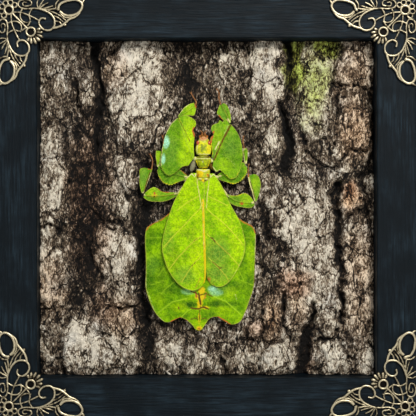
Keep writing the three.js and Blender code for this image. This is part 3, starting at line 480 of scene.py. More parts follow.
# Furrows are a width, a depth and the points that they run through.
furrows = [
    (4.5, 5.0, [(-57, 87), (-56, 70), (-54, 58), (-56, 45), (-57, 30)]),
    (19, 2.4, [(-58, 44), (-60, 28), (-60, 10), (-62, -10), (-63, -30), (-62, -52)]),
    (4, 2.6, [(-66, -8), (-63, -36), (-61, -56)]),
    (2.2, 3.0, [(-66, 64), (-65, 52)]),
    (2.5, 2.0, [(-73, 30), (-70, 16), (-73, 0), (-74, -10)]),
    (1.2, 1.5, [(-49, 78), (-38, 87)]),
    (1.6, 2.0, [(-46, 28), (-40, 26), (-35, 29), (-26, 32)]),
    (1.5, 2.0, [(-48, 20), (-46, 15), (-39, 4), (-34, -2)]),
    (12, 2.4, [(-31, 24), (-30, 8), (-33, -8)]),
    (1.4, 2.0, [(-53, -8), (-49, -11), (-38, -10)]),
    (7, 3.6, [(-34, -10), (-33, -30), (-32, -52), (-30, -70), (-33, -87)]),
    (1.6, 2.4, [(-50, -50), (-43, -51), (-34, -49)]),
    (1.2, 1.5, [(-48, -30), (-50, -40), (-49, -48)]),
    (1.6, 2.0, [(-86, -10), (-78, -10)]),
    (1.6, 2.0, [(-86, -52), (-80, -52), (-76, -48)]),
    (3, 2.0, [(-76, -12), (-72, -25), (-71, -35), (-76, -45)]),
    (1.6, 2.0, [(-74, -60), (-70, -56), (-64, -54), (-58, -60), (-50, -64)]),
    (2.0, 2.0, [(-75, -62), (-74, -75), (-73, -86)]),
    (1.2, 1.5, [(-86, -66), (-78, -64)]),
    (1.2, 1.5, [(-46, -68), (-40, -72), (-38, -82)]),
    (3, 2.5, [(-27, -64), (-26, -86)]),
    (1.4, 1.5, [(-22, -63), (-21, -87)]),
    (1.2, 1.5, [(-18, -66), (-12, -70), (-7, -69), (-8, -80), (-12, -87)]),
    (15, 1.8, [(-9, 86), (-8, 60), (-9, 38)]),
    (1.2, 1.0, [(20, 87), (21, 70), (22, 52)]),
    (3.5, 3.5, [(41, 87), (41.5, 70), (41, 56), (38, 52)]),
    (5, 4.5, [(37, 53), (40, 46), (42, 34), (40, 20)]),
    (2.5, 2.0, [(31, 44), (28, 36), (23, 33), (22, 20)]),
    (1.2, 1.6, [(47, 76), (55, 75), (61, 79)]),
    (1.8, 2.2, [(65, 76), (65.5, 62), (66.5, 50), (65.5, 32)]),
    (1.6, 2.4, [(49, 36), (51, 30), (55, 26), (58, 21.6), (63.5, 20.5), (68, 25), (73, 30), (81, 29)]),
    (1.8, 2.0, [(65.5, 62), (73, 61.5), (80, 61.3)]),
    (3, 3.5, [(84, 58), (84.5, 40), (84, 20), (80, 14)]),
    (1.2, 1.2, [(27.5, 3), (29, 7), (32, 8.6), (37, 7.6), (44, 6)]),
    (1.2, 1.4, [(48, 15.7), (56.6, 11.7), (58.5, 3)]),
    (3.2, 4.0, [(67, 14), (65.5, 6), (66, -3), (67.5, -14), (66.5, -18), (68, -34), (68.5, -57)]),
    (5, 3.0, [(80, 20), (81, 8), (80, -2)]),
    (6, 2.6, [(27, 1), (32, -14), (40, -23)]),
    (1.4, 1.8, [(31.5, -31.5), (37, -34), (41.7, -39), (46, -38.6), (52, -36.3)]),
    (2.2, 2.6, [(39.6, -43), (39, -51), (39, -60)]),
    (3.0, 4.0, [(54, -48.5), (52.5, -57.5)]),
    (6.5, 5.0, [(51.5, -62), (49.5, -72), (48, -87)]),
    (1.6, 2.2, [(56, -68.6), (62.5, -67), (66.5, -62.5)]),
    (1.1, 1.2, [(72, -48.6), (77.7, -45.7), (81.3, -49)]),
    (1.6, 2.0, [(68, -66), (71, -76), (76.5, -76.7)]),
    (1.4, 1.5, [(28, -44), (28, -66)]),
    (1.6, 2.0, [(27, -74), (31, -69), (38, -68), (45, -72)]),
    (2.0, 2.2, [(4.6, -69), (9.4, -83)]),
    (1.2, 1.4, [(21, -58), (20, -66), (26, -68)]),
]
# Patches of colour: kind, x, z, half width, half height and strength. The dark patches are painted shadow
# beside the insect and darker bark further off; the pale patches lighten the swells, partly paler bark and
# partly painted light on the raised places.
patches = [
    ("moss", 44, 73, 5, 15, 1.0), ("moss", 55, 62, 9, 26, 0.55), ("moss", 62, 84, 7, 6, 0.7),
    ("warm", 75, 68, 10, 18, 0.5), ("warm", 76, 38, 9, 14, 0.8), ("warm", 73, 6, 5, 9, 1.0),
    ("warm", 78, -36, 9, 34, 0.45), ("warm", 33, -56, 6, 12, 0.9), ("warm", 46, -50, 5, 12, 0.5),
    ("warm", -41, -55, 9, 10, 0.6), ("warm", -80, -40, 9, 16, 0.5), ("warm", -48, 72, 7, 12, 0.4),
    ("red", -60, 5, 11, 38, 0.8), ("red", 43, -38, 9, 8, 1.0), ("red", 73, 10, 5, 5, 0.8),
    ("red", 24, -62, 4, 5, 0.7), ("red", -54, -50, 8, 9, 0.6), ("red", 50, -74, 3, 12, 0.6),
    ("pale", -33, 62, 11, 24, 0.7), ("pale", -80, 18, 8, 26, 0.9), ("pale", -79, -32, 9, 18, 0.6),
    ("pale", -60, -68, 13, 14, 1.2), ("pale", -41, 17, 8, 9, 0.7), ("pale", -46, -22, 9, 12, 0.6),
    ("pale", 31, 66, 9, 17, 0.9), ("pale", 56, 52, 6, 20, 0.7), ("pale", 48, -8, 14, 18, 0.8),
    ("pale", 54, -34, 12, 18, 0.6), ("pale", 36, -77, 9, 8, 1.8), ("pale", 72, 0.5, 4, 3, 1.6),
    ("pale", -17, -76, 4, 9, 1.7), ("pale", -3, -75, 3, 6, 1.5), ("pale", 80, -24, 5, 14, 0.5),
    ("pale", 64, -76, 7, 8, 1.1), ("pale", 8, 64, 4, 4, 0.3), ("pale", 83, -78, 6, 7, 1.1),
    ("pale", -66, -62, 5, 7, 0.8), ("pale", 20, -76, 5, 6, 0.8), ("pale", -82, -78, 4, 6, 0.6),
    ("dark", -9, 58, 10, 32, 0.5), ("dark", -31, 12, 8, 22, 0.9), ("dark", 12, 28, 12, 20, 0.6),
    ("dark", 31, -12, 6, 14, 0.8), ("dark", -70, 60, 14, 28, 0.35), ("dark", -28, -78, 6, 14, 0.5),
    ("dark", 8, -72, 14, 12, 0.1), ("dark", 41, 34, 4, 16, 0.7), ("dark", 34, -44, 8, 9, 0.6),
]
boundedFurrows = []
for width, depth, points in furrows:
    across, along = [p[0] for p in points], [p[1] for p in points]
    reach = (min(across) - width, max(across) + width, min(along) - width, max(along) + width)
    boundedFurrows.append((width, depth, points, *reach))


# Nothing rises above the seat under the insect
def seatHeight(x, z):
    dx = abs(x - seat["x"]) / seat["halfWidth"]
    dz = abs(z - seat["z"]) / seat["halfHeight"]
    return seat["climb"] * max(0, math.hypot(dx, dz) - 1) - seat["sink"]


# 0 in the middle of a patch, 1 at its rim
def patchDistance(x, z, patch, scale):
    cx, cz, rx, rz = patch
    dx, dz = (x - cx) / (scale * rx), (z - cz) / (scale * rz)
    return dx * dx + dz * dz


def barkHeight(x, z):
    wobble = noise.noise_vector(Vector((x, z, 3)) * 0.11) * bark["wobble"]
    curl = noise.noise_vector(Vector((x, z, 9)) * 0.42) * bark["curl"]
    wx = x + wobble.x + curl.x
    wz = z + wobble.y + curl.y
    height = bark["floor"]
    for *patch, rise in swells:
        away = patchDistance(wx, wz, patch, bark["swell"])
        if away < 1:
            height = max(height, bark["floor"] + (rise - bark["floor"]) * (1 - away) ** bark["dome"])
    cut = 0
    for width, depth, points, left, right, low, top in boundedFurrows:
        if left < wx < right and low < wz < top:
            away = lineDistance(wx, wz, points) / (width * bark["furrow"])
            if away < 1:
                cut = max(cut, depth * (1 - away * away) ** (0.7 if width < 3 else 1.2))
    # the bark flakes off in thin sheets with ragged edges
    layer = (height + 1.1 * noise.noise(Vector((wx * 0.4, wz * 0.26, 7)))) / bark["flake"]
    step = layer - math.floor(layer)
    height = bark["flake"] * (math.floor(layer) + soft((step - 0.25) / 0.35))
    # ledge is painted light, used only for colour: a highlight on each sheet's lip and shade at its foot
    ledge = max(0, 1 - abs(step - 0.68) / 0.2) - 1.1 * max(0, 1 - abs(step - 0.25) / 0.16)
    fibre = noise.noise(Vector((wx * 0.75, wz * 0.2, 5)))
    rough = noise.turbulence(Vector((wx * 0.3, wz * 0.2, 1)), 5, False)
    pits = noise.noise(Vector((wx, wz * 0.7, 2)))
    detail = bark["fibre"] * (1 - 4 * abs(fibre)) + bark["rough"] * (rough - 0.6) + bark["pit"] * pits
    return min(height + detail - cut, seatHeight(x, z)), cut, detail + 0.4 * ledge


def patchStrength(kind, x, z):
    total = 0
    for name, *patch, strength in patches:
        if name == kind:
            total += strength * max(0, 1 - patchDistance(x, z, patch, bark["patch"]))
    return total


bm = bmesh.new()
barkHalf = halfWindow - bark["gap"]
bmesh.ops.create_grid(bm, x_segments=bark["cells"], y_segments=bark["cells"], size=barkHalf)
kinds = ("moss", "warm", "red", "pale", "dark")
layers = {kind: bm.verts.layers.float.new(kind) for kind in (*kinds, "cut", "high", "detail")}
for vertex in bm.verts:
    x, z = vertex.co.x, vertex.co.y
    height, cut, detail = barkHeight(x, z)
    spread = noise.noise_vector(Vector((x, z, 20)) * 0.12) * 4
    for kind in kinds:
        vertex[layers[kind]] = patchStrength(kind, x + spread.x, z + spread.y)
    vertex[layers["cut"]] = cut
    vertex[layers["high"]] = height
    vertex[layers["detail"]] = detail
    vertex.co = Vector((x, seatY - height, z + middleZ)) * mm
rimEdges = [edge for edge in bm.edges if edge.is_boundary]
skirt = bmesh.ops.extrude_edge_only(bm, edges=rimEdges)
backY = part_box("bark_slab")[1][1]
for vertex in [v for v in skirt["geom"] if isinstance(v, bmesh.types.BMVert)]:
    vertex.co.y = backY
bmesh.ops.holes_fill(bm, edges=[edge for edge in bm.edges if edge.is_boundary])
bmesh.ops.recalc_face_normals(bm, faces=bm.faces)

barkLook = Look("bark", Roughness=0.85, Specular_IOR_Level=0.25)
swirl = barkLook.warp(barkLook.warp(barkLook.place((1, 1, 0.55)), 7, 5), 2.2, 1.6)
fleck = barkLook.grain(swirl, 0.95, 3, 0.7)
streak = barkLook.grain(barkLook.warp(barkLook.place((1, 1, 0.28)), 2.6, 1.8), 0.62, 2, 0.6)
lump = barkLook.grain(swirl, 4.6, 2, 0.5)
contour = ((lump * 9).math("FRACT") - 0.5).math("ABSOLUTE") * 2
cloud = barkLook.grain(barkLook.place(), 10, 4, 0.6)
seam = (1 - contour.rise(0.0, 0.24)) * cloud.rise(0.40, 0.60)
chipPlace = barkLook.warp(barkLook.warp(barkLook.place((1, 1, 0.6)), 2.2, 1.6), 6, 5)
chips = barkLook.cells(chipPlace, 6, "DISTANCE_TO_EDGE")
chipTone = barkLook.cells(chipPlace, 6, output="Color")  # grey once it is in the maths
plates = barkLook.cells(barkLook.warp(barkLook.place((1, 1, 0.7)), 5, 6), 15, "DISTANCE_TO_EDGE")
crack = (1 - chips.rise(0.0, 0.055)) * cloud.rise(0.42, 0.56) * 0.7 + (1 - plates.rise(0.0, 0.03))
pore = barkLook.grain(swirl, 0.75, 2, 0.6).rise(0.60, 0.68)
contrast = (fleck - 0.5) * 1.3 + (streak - 0.5) * 1.1 + (lump - 0.5) + (contour - 0.5) * 0.12
# Painted light and shade: the tone rises with the bark's height and with the detail, which holds
# the painted ledge highlights, and it falls with the depth of the furrows
tone = 0.65 + contrast + (cloud - 0.5) * 0.4 + barkLook.attribute("high") * 0.03
tone = tone + barkLook.attribute("detail") * 0.15 + barkLook.attribute("pale") * 0.18
# the dark patches add painted shadow beside the insect
tone = tone - barkLook.attribute("dark") * 0.15 - barkLook.attribute("cut") * 0.08
tone = tone + (chipTone - 0.5) * 0.3 - crack * 0.42 - seam * 0.16 - pore * 0.24
barkColour = barkLook.ramp(
    tone,
    (0.18, (0.006, 0.005, 0.004)),
    (0.36, (0.056, 0.038, 0.025)),
    (0.50, (0.18, 0.13, 0.085)),
    (0.66, (0.42, 0.34, 0.245)),
    (0.84, (0.96, 0.87, 0.71)),
)
tinted = barkLook.mix(barkColour, (1.25, 0.86, 0.58), barkLook.attribute("warm") * 0.7, "MULTIPLY")
tinted = barkLook.mix(tinted, (0.95, 0.62, 0.48), barkLook.attribute("red") * 0.75, "MULTIPLY")
mossy = (barkLook.attribute("moss") * 1.1 + cloud - 0.5).rise(0.1, 0.9)
tinted = barkLook.mix(tinted, (0.72, 0.92, 0.22), mossy, "MULTIPLY")
cool = barkLook.grain(barkLook.place(), 17, 2).rise(0.5, 0.7)
tinted = barkLook.mix(tinted, (0.86, 0.92, 1.04), cool * 0.6, "MULTIPLY")
barkLook.set("Base Color", tinted)
raised = (fleck + streak) * 1.2 + contour * 0.3 + chips.rise(0.0, 0.3) * 0.8
barkLook.bump(raised - crack * 0.4 - pore * 0.3, 1.0)
piece("bark_piece", bm, barkLook, ["bark_slab"])
print("bark made")


# Specimen. Its own x runs right, z towards the head and w out from the bark's seat.
insectAt = (-2.0, 15.2 + middleZ)


def specimenPoint(x, z, w):
    return Vector((x + insectAt[0], seatY - w, z + insectAt[1])) * mm


# The place at t, from 0 to 1, on a smooth line through the knots
def through(knots, t):
    place = min(max(t, 0), 1) * (len(knots) - 1)
    i = min(int(place), len(knots) - 2)
    f = place - i
    a, b, c, d = (knots[min(max(k, 0), len(knots) - 1)] for k in (i - 1, i, i + 1, i + 2))
    return [
        q + 0.5 * f * (r - p + f * (2 * p - 5 * q + 4 * r - s + f * (3 * (q - r) + s - p)))
        for p, q, r, s in zip(a, b, c, d)
    ]


# Tints of the cuticle, with painted shade and a painted glare among them: ground tints lie under the
# mottling and the veins, marks over them
groundTints = {
    # deep is painted shade, darkening folds, grooves and the abdomen beside the wings' edges
    "deep": (0.035, 0.13, 0.004), "dull": (0.15, 0.32, 0.035), "lime": (0.56, 0.82, 0.001),
    # glare is a painted reflection, a pale cyan sheen on the shiniest cuticle
    "glare": (0.50, 0.98, 0.74),
}
markTints = {
    "yellow": (0.74, 0.55, 0.010), "pale": (0.68, 0.66, 0.25), "ash": (0.25, 0.24, 0.14),
    "blush": (0.62, 0.33, 0.15), "rust": (0.46, 0.14, 0.025), "brown": (0.13, 0.07, 0.010),
}


def paintLayers(bm):
    names = ("vein", "edge", *groundTints, *markTints)
    return {key: bm.verts.layers.float.new(key) for key in names}


# 1 on the line through the points, 0 from the given width on
def lineShare(x, z, points, width):
    away = min(1, lineDistance(x, z, points) / width)
    return (1 - away * away) ** 2


# Spots are a kind, x, z, half width, half height and strength, and fade out. Marks are firm lines.
def paint(vertex, layers, x, z, spots, marks):
    ragged = noise.noise_vector(Vector((x, z, 11)) * 1.1) * 0.3
    x += ragged.x
    z += ragged.y
    for kind, cx, cz, rx, rz, strength in spots:
        away = ((x - cx) / rx) ** 2 + ((z - cz) / rz) ** 2
        if away < 1:
            vertex[layers[kind]] = max(vertex[layers[kind]], strength * (1 - away))
    for kind, points, width, strength in marks:
        away = lineDistance(x, z, points) / width
        if away < 1:
            vertex[layers[kind]] = max(vertex[layers[kind]], strength * soft(2.2 * (1 - away)))


rim = 0.27  # half the thickness of a sheet at its margin
sheet = {"ripple": 0.16, "veinShow": 4.5, "trim": 0.6}


# A thin leafy sheet between its margins, with a raised net of veins.
# form: axis, left and right knots, rows, columns, lift(s, t, x, z), half(s, t, x, z),
# veins as (points, half width, height), spots and marks
def leafSheet(name, form, look, replaces):
    bm = bmesh.new()
    bmesh.ops.create_grid(bm, x_segments=form["columns"], y_segments=form["rows"], size=1)
    made = bmesh.ops.extrude_face_region(bm, geom=bm.faces[:])
    for vertex in [v for v in made["geom"] if isinstance(v, bmesh.types.BMVert)]:
        vertex.co.z = -1
    layers = paintLayers(bm)
    for vertex in bm.verts:
        s, t, side = vertex.co.x, 0.5 + vertex.co.y / 2, 1 if vertex.co.z >= 0 else -1
        axis = through(form["axis"], t)
        margin = through(form["left"] if s < 0 else form["right"], t)
        reach = abs(s)
        if form.get("teeth"):
            count, size = form["teeth"]
            reach *= 1 + size * (abs((t * count) % 1 - 0.5) - 0.25) * abs(s) ** 6
        x = axis[0] + (margin[0] - axis[0]) * reach
        z = axis[1] + (margin[1] - axis[1]) * reach
        edge = math.hypot(margin[0] - x, margin[1] - z)
        vein = 0
        rise = 0
        for points, width, height in form["veins"]:
            share = lineShare(x, z, points, width)
            vein = max(vein, share * min(1, height * sheet["veinShow"]))
            rise = max(rise, share * height)
        lift = form["lift"](s, t, x, z)
        half = form["half"](s, t, x, z)
        ripple = sheet["ripple"] * noise.noise(Vector((x, z, 4)) * 0.33) * min(1, edge / 2)
        w = lift + side * half + (rise if side > 0 else 0) + ripple
        vertex[layers["vein"]] = vein
        vertex[layers["edge"]] = 1 - soft(edge / form.get("trim", sheet["trim"]))
        paint(vertex, layers, x, z, form["spots"], form["marks"])
        vertex.co = specimenPoint(x, z, w)
    bmesh.ops.recalc_face_normals(bm, faces=bm.faces)
    piece(name, bm, look, replaces)


# Dry green cuticle: base colours, with the sheet's own veins, margins and spots over them
def leafLook(name, light, dark, veinColour, veinShare=0.8):
    look = Look(name, Specular_IOR_Level=0.06)
    where = look.place()
    cloud = look.grain(where, 6, 3, 0.55)
    mottle = look.grain(look.warp(where, 3, 1.5), 1.9, 4, 0.65)
    fine = look.grain(where, 0.75, 3, 0.6)
    net = 1 - look.cells(look.warp(where, 2, 0.8), 2.1, "DISTANCE_TO_EDGE").rise(0.0, 0.10)
    speck = look.grain(where, 0.8, 1).rise(0.64, 0.72) * cloud.rise(0.42, 0.58)
    colour = look.mix(dark, light, cloud.rise(0.32, 0.68))
    # the ground tints lay painted shade into folds and grooves and a painted glare onto shiny places
    for kind, tint in groundTints.items():
        colour = look.mix(colour, tint, look.attribute(kind))
    shade = ((mottle - 0.5) * 2.2 + (fine - 0.5) * 1.8 + 0.5).rise(0.0, 1.0)
    colour = look.mix(colour, (0.5, 0.58, 0.45), 1 - shade, "MULTIPLY")
    colour = look.mix(colour, veinColour, net * 0.2)
    colour = look.mix(colour, (0.06, 0.07, 0.01), speck * 0.6)
    colour = look.mix(colour, veinColour, look.attribute("vein") * veinShare)
    colour = look.mix(colour, (0.50, 0.46, 0.07), look.attribute("edge") * 0.7)
    ragged = (fine - 0.5) * 0.7 + (mottle - 0.5) * 0.9
    for kind, tint in markTints.items():
        colour = look.mix(colour, tint, (look.attribute(kind) + ragged).rise(0.22, 0.85))
    look.set("Base Color", colour)
    look.set("Roughness", 0.38 + fine * 0.2)
    look.bump(net * 0.5 + fine * 0.6 + mottle, 0.18, 0.7)
    return look


wingLook = leafLook("green wing", (0.47, 0.80, 0.001), (0.26, 0.54, 0.001), (0.66, 0.64, 0.05))
bodyLook = leafLook("green abdomen", (0.31, 0.58, 0.001), (0.11, 0.29, 0.001), (0.38, 0.62, 0.02))
legLook = leafLook("green leg", (0.27, 0.54, 0.008), (0.12, 0.32, 0.006), (0.38, 0.50, 0.05))

abdomenStations = [
    # axis z, left margin x and z, right margin x and z
    (-9.5, -6.5, -9.9, 6.5, -9.9), (-14, -13.4, -14.6, 13.0, -14.8), (-18.5, -20.2, -20.2, 18.4, -20.6),
    (-22.5, -27.2, -24.1, 24.6, -24.1), (-26, -29.0, -26.6, 26.4, -27.4), (-31, -29.4, -32.4, 26.6, -32.0),
    (-38, -29.0, -40.5, 26.4, -39.5), (-44.5, -29.0, -48.3, 26.2, -47.5), (-50.5, -29.1, -55.3, 25.7, -55),
    (-55.5, -27.1, -62.4, 23.7, -61.5), (-59, -24.2, -68.3, 21.4, -67.8), (-61.5, -19.9, -72.6, 18.6, -72.8),
    (-64, -16.2, -72.7, 13.6, -74), (-66.5, -11.7, -70.6, 8.2, -70.4), (-69.5, -8.1, -72.1, 3.6, -70.9),
    (-73.5, -5.2, -74.7, 1.2, -74.1), (-76.4, -4.2, -76.2, -0.2, -76.0), (-77.2, -3.0, -76.9, -0.8, -76.8),
]
ridge = {
    "front": -9.5, "lean": 0.03, "height": 4.0, "margin": 1.9, "halfWidth": 28,
    "sink": 1.0, "sinkFrom": -40, "sinkOver": 37, "shoulder": 3.9, "shoulderEnd": -9,
}


# How far the back of the abdomen stands out from the seat
def crest(x, z):
    off = abs(x + ridge["lean"] * (ridge["front"] - z)) / ridge["halfWidth"]
    fall = min(1, max(0, (ridge["sinkFrom"] - z) / ridge["sinkOver"]))
    back = ridge["height"] - ridge["sink"] * fall
    return back - (back - ridge["margin"]) * min(1, off) ** 1.3


# 1 on the axis of a sheet, fading towards its margins
def hump(s, width):
    return math.exp(-((s / width) ** 2))


def bellyHalf(s, x, z):
    return rim + (crest(x, z) / 2 - 0.16 - rim) * hump(s, 0.3)


abdomen = {
    "axis": [(ridge["lean"] * (row[0] - ridge["front"]), row[0]) for row in abdomenStations],
    "left": [(row[1], row[2]) for row in abdomenStations],
    "right": [(row[3], row[4]) for row in abdomenStations],
    "rows": 220,
    "columns": 160,
    "lift": lambda s, t, x, z: crest(x, z) - bellyHalf(s, x, z),
    "half": lambda s, t, x, z: bellyHalf(s, x, z),
    "veins": [
        ([(-8.3, -61.1), (-15.6, -62.7), (-23.5, -68.9)], 0.55, 0.3),
        ([(5.5, -60.2), (11.5, -62.5), (19.4, -69.5)], 0.55, 0.3),
        ([(-14.5, -52.6), (-19, -56), (-21.3, -58.8)], 0.4, 0.15),
        ([(-20.2, -52), (-26.9, -54.3)], 0.4, 0.15),
        ([(17, -51.0), (26, -54.6)], 0.4, 0.15),
        ([(-17.6, -44.7), (-19.6, -45.3), (-23, -49.8)], 0.4, 0.15),
        ([(18.2, -47.2), (20.5, -51.5)], 0.4, 0.15),
        ([(-20.8, -30.2), (-29, -30.6)], 0.4, 0.12),
        ([(20, -30), (26.4, -30.4)], 0.4, 0.12),
        ([(-20.4, -37.6), (-29, -41)], 0.4, 0.12),
        ([(20.4, -37), (26.4, -40.6)], 0.4, 0.12),
        ([(-12.2, -71.8), (-8.3, -67.6), (-5.5, -66.1)], 0.5, 0.25),
        ([(-1.3, -55), (-1.6, -76)], 0.35, 0.2),
    ],
    "spots": [
        ("yellow", -0.6, -57.0, 2.4, 3.0, 1.0), ("yellow", -1.2, -60.4, 4.0, 2.2, 0.9),
        ("yellow", -1.6, -63.6, 2.0, 4.0, 1.0), ("yellow", 1.2, -65.4, 3.0, 1.3, 0.8),
        ("yellow", -1.9, -71, 1.2, 4.6, 0.7), ("yellow", -2.0, -76.0, 2.0, 1.6, 1.0),
        # the glare spots are painted reflections
        ("rust", -2.0, -76.4, 1.4, 0.8, 0.8), ("glare", 4.9, -56.2, 3.0, 2.0, 0.75),
        ("glare", 6.6, -58.0, 4.0, 2.0, 0.45), ("glare", -7.6, -57.4, 4.2, 2.0, 0.3),
        ("lime", -12, -65.5, 5, 3, 0.5), ("lime", 10, -67, 5, 3, 0.35), ("lime", 14, -58, 4, 4, 0.4),
        ("lime", -2, -74, 5, 3, 0.5), ("lime", -22, -62, 4, 5, 0.3), ("lime", 24, -40, 2, 14, 0.3),
        # painted shade in the abdomen's folds and beside the wings' edges
        ("deep", -27, -52, 5, 7, 0.6), ("deep", 24, -56, 4, 9, 0.6), ("deep", -16, -56.5, 6, 3, 0.7),
        ("deep", -7, -64, 5, 2.5, 1.1), ("deep", 6.5, -63.5, 5, 2.5, 1.0), ("deep", 18, -54.5, 7, 3, 0.6),
        ("deep", -21, -48, 3.4, 14, 0.65), ("deep", 19.5, -38, 2.6, 16, 0.5), ("deep", -26, -30, 3, 5, 0.45),
        ("deep", 14.5, -63.8, 5, 2, 0.7), ("deep", -9, -69.6, 3, 2, 0.7), ("deep", 4, -69, 3, 2, 0.7),
        ("deep", -14, -54, 5, 4, 0.5), ("deep", 12, -55, 6, 3, 0.5),
        ("dull", 10, -57, 7, 3.5, 0.5), ("dull", -26, -44, 4, 6, 0.45),
    ],
    "marks": [
        ("brown", [(-2.1, -58.6), (-1.8, -61.0), (-1.2, -63.8)], 0.62, 1.0),
        ("brown", [(-1.2, -63.8), (-1.6, -66.6), (-1.8, -72.2)], 0.28, 0.8),
        ("brown", [(-6.0, -57.5), (-3.6, -58.2), (-1.9, -59.4)], 0.45, 0.9),
        ("brown", [(-1.9, -59.4), (1.2, -58.4), (4.6, -59.8)], 0.4, 0.8),
        ("rust", [(-3.8, -57.6), (-3.2, -60.2)], 0.5, 0.8),
        ("rust", [(1.6, -58.0), (0.6, -61.4)], 0.45, 0.7),
        ("brown", [(-6.0, -65.7), (-3.6, -66.2), (-1.8, -66.0)], 0.5, 1.0),
        ("brown", [(-1.8, -66.0), (0.4, -65.2), (2.6, -66.3)], 0.5, 1.0),
        ("brown", [(7, -64.8), (10, -64.6)], 0.4, 0.45),
        ("brown", [(-12.4, -65.4), (-12.1, -66.2)], 0.5, 0.9),
        ("brown", [(-6.2, -71.6), (-4.2, -70.8), (-2.6, -71.6)], 0.26, 0.9),
        ("brown", [(-0.6, -71.4), (1.0, -70.8), (2.4, -71.8)], 0.26, 0.9),
        ("rust", [(-29, -26.6), (-26.9, -23.9), (-21.3, -21.4), (-17.1, -18.1), (-13.4, -13.6)], 0.45, 0.7),
        ("rust", [(18.2, -20.6), (21, -22.8), (24.8, -24.4), (26.6, -28)], 0.45, 0.7),
        ("pale", [(26.7, -29), (26.4, -42)], 0.4, 0.7), ("brown", [(26.3, -42), (25.9, -54)], 0.4, 0.6),
        ("pale", [(-29.1, -44), (-28.8, -56), (-24.2, -68.3), (-20, -72.6)], 0.35, 0.5),
        ("rust", [(5.2, -70.6), (8.1, -70.4), (13.6, -73.8)], 0.45, 0.9),
        ("rust", [(-16.2, -72.6), (-11.7, -70.6), (-8.1, -72.1)], 0.45, 0.8),
        ("pale", [(16.3, -58.8), (17.1, -61.6)], 0.4, 0.5),
    ],
}
leafSheet("abdomen_skin", abdomen, bodyLook, ["abdomen"])

# Fore wings. Rows slant along the side veins.
wingLeft = [
    (-3.2, 2.4, -6.0, 2.4), (-3.0, -0.4, -8.3, -0.6), (0.6, -2.8, -11.0, -5.4), (0.8, -8, -15.0, -12.8),
    (0.7, -13, -19.2, -25.5), (0.9, -19, -20.7, -35.0), (1.0, -25, -19.3, -42.0), (1.2, -31, -16.8, -47.9),
    (1.4, -37, -13.4, -52.6), (1.5, -42, -10.0, -55.3), (1.5, -46.5, -6.0, -56.7), (1.3, -50, -2.8, -56.3),
    (0.8, -52.6, -0.6, -54.8),
]
wingRight = [
    (3.2, 2.2, 5.6, 2.2), (3.1, -0.4, 7.6, -0.8), (0.0, -2.8, 10.2, -5.4), (0.0, -8, 13.8, -13.2),
    (0.0, -13, 18.6, -22.2), (0.1, -19, 21.2, -31.8), (0.2, -25, 20.8, -38.7), (0.4, -31, 18.4, -44.5),
    (0.7, -37, 14.9, -50.4), (1.0, -42, 11.3, -54.1), (1.3, -46, 8.0, -55.1), (1.7, -49, 5.0, -54.2),
    (2.2, -51, 3.0, -52.4),
]
midrib = [(-0.1, -11.4), (0.3, -24.1), (0.8, -36.8), (1.2, -49.0), (0.8, -53)]
room = 0.36  # under each wing
overRight = room
overLeft = overRight + 2 * rim + 0.3 + room


def shoulder(z):
    return ridge["shoulder"] if z > ridge["shoulderEnd"] else 0


def wing(stations, side, over, veins, spots, marks):
    inner = [(row[0], row[1]) for row in stations]
    outer = [(row[2], row[3]) for row in stations]
    middle = [((a[0] + b[0]) / 2, (a[1] + b[1]) / 2) for a, b in zip(inner, outer)]
    return {
        "axis": middle,
        "left": outer if side < 0 else inner,
        "right": inner if side < 0 else outer,
        "rows": 210,
        "columns": 90,
        "lift": lambda s, t, x, z: max(crest(x, z), shoulder(z)) + over + rim,
        "half": lambda s, t, x, z: rim,
        "veins": veins,
        "spots": spots,
        "marks": marks,
    }


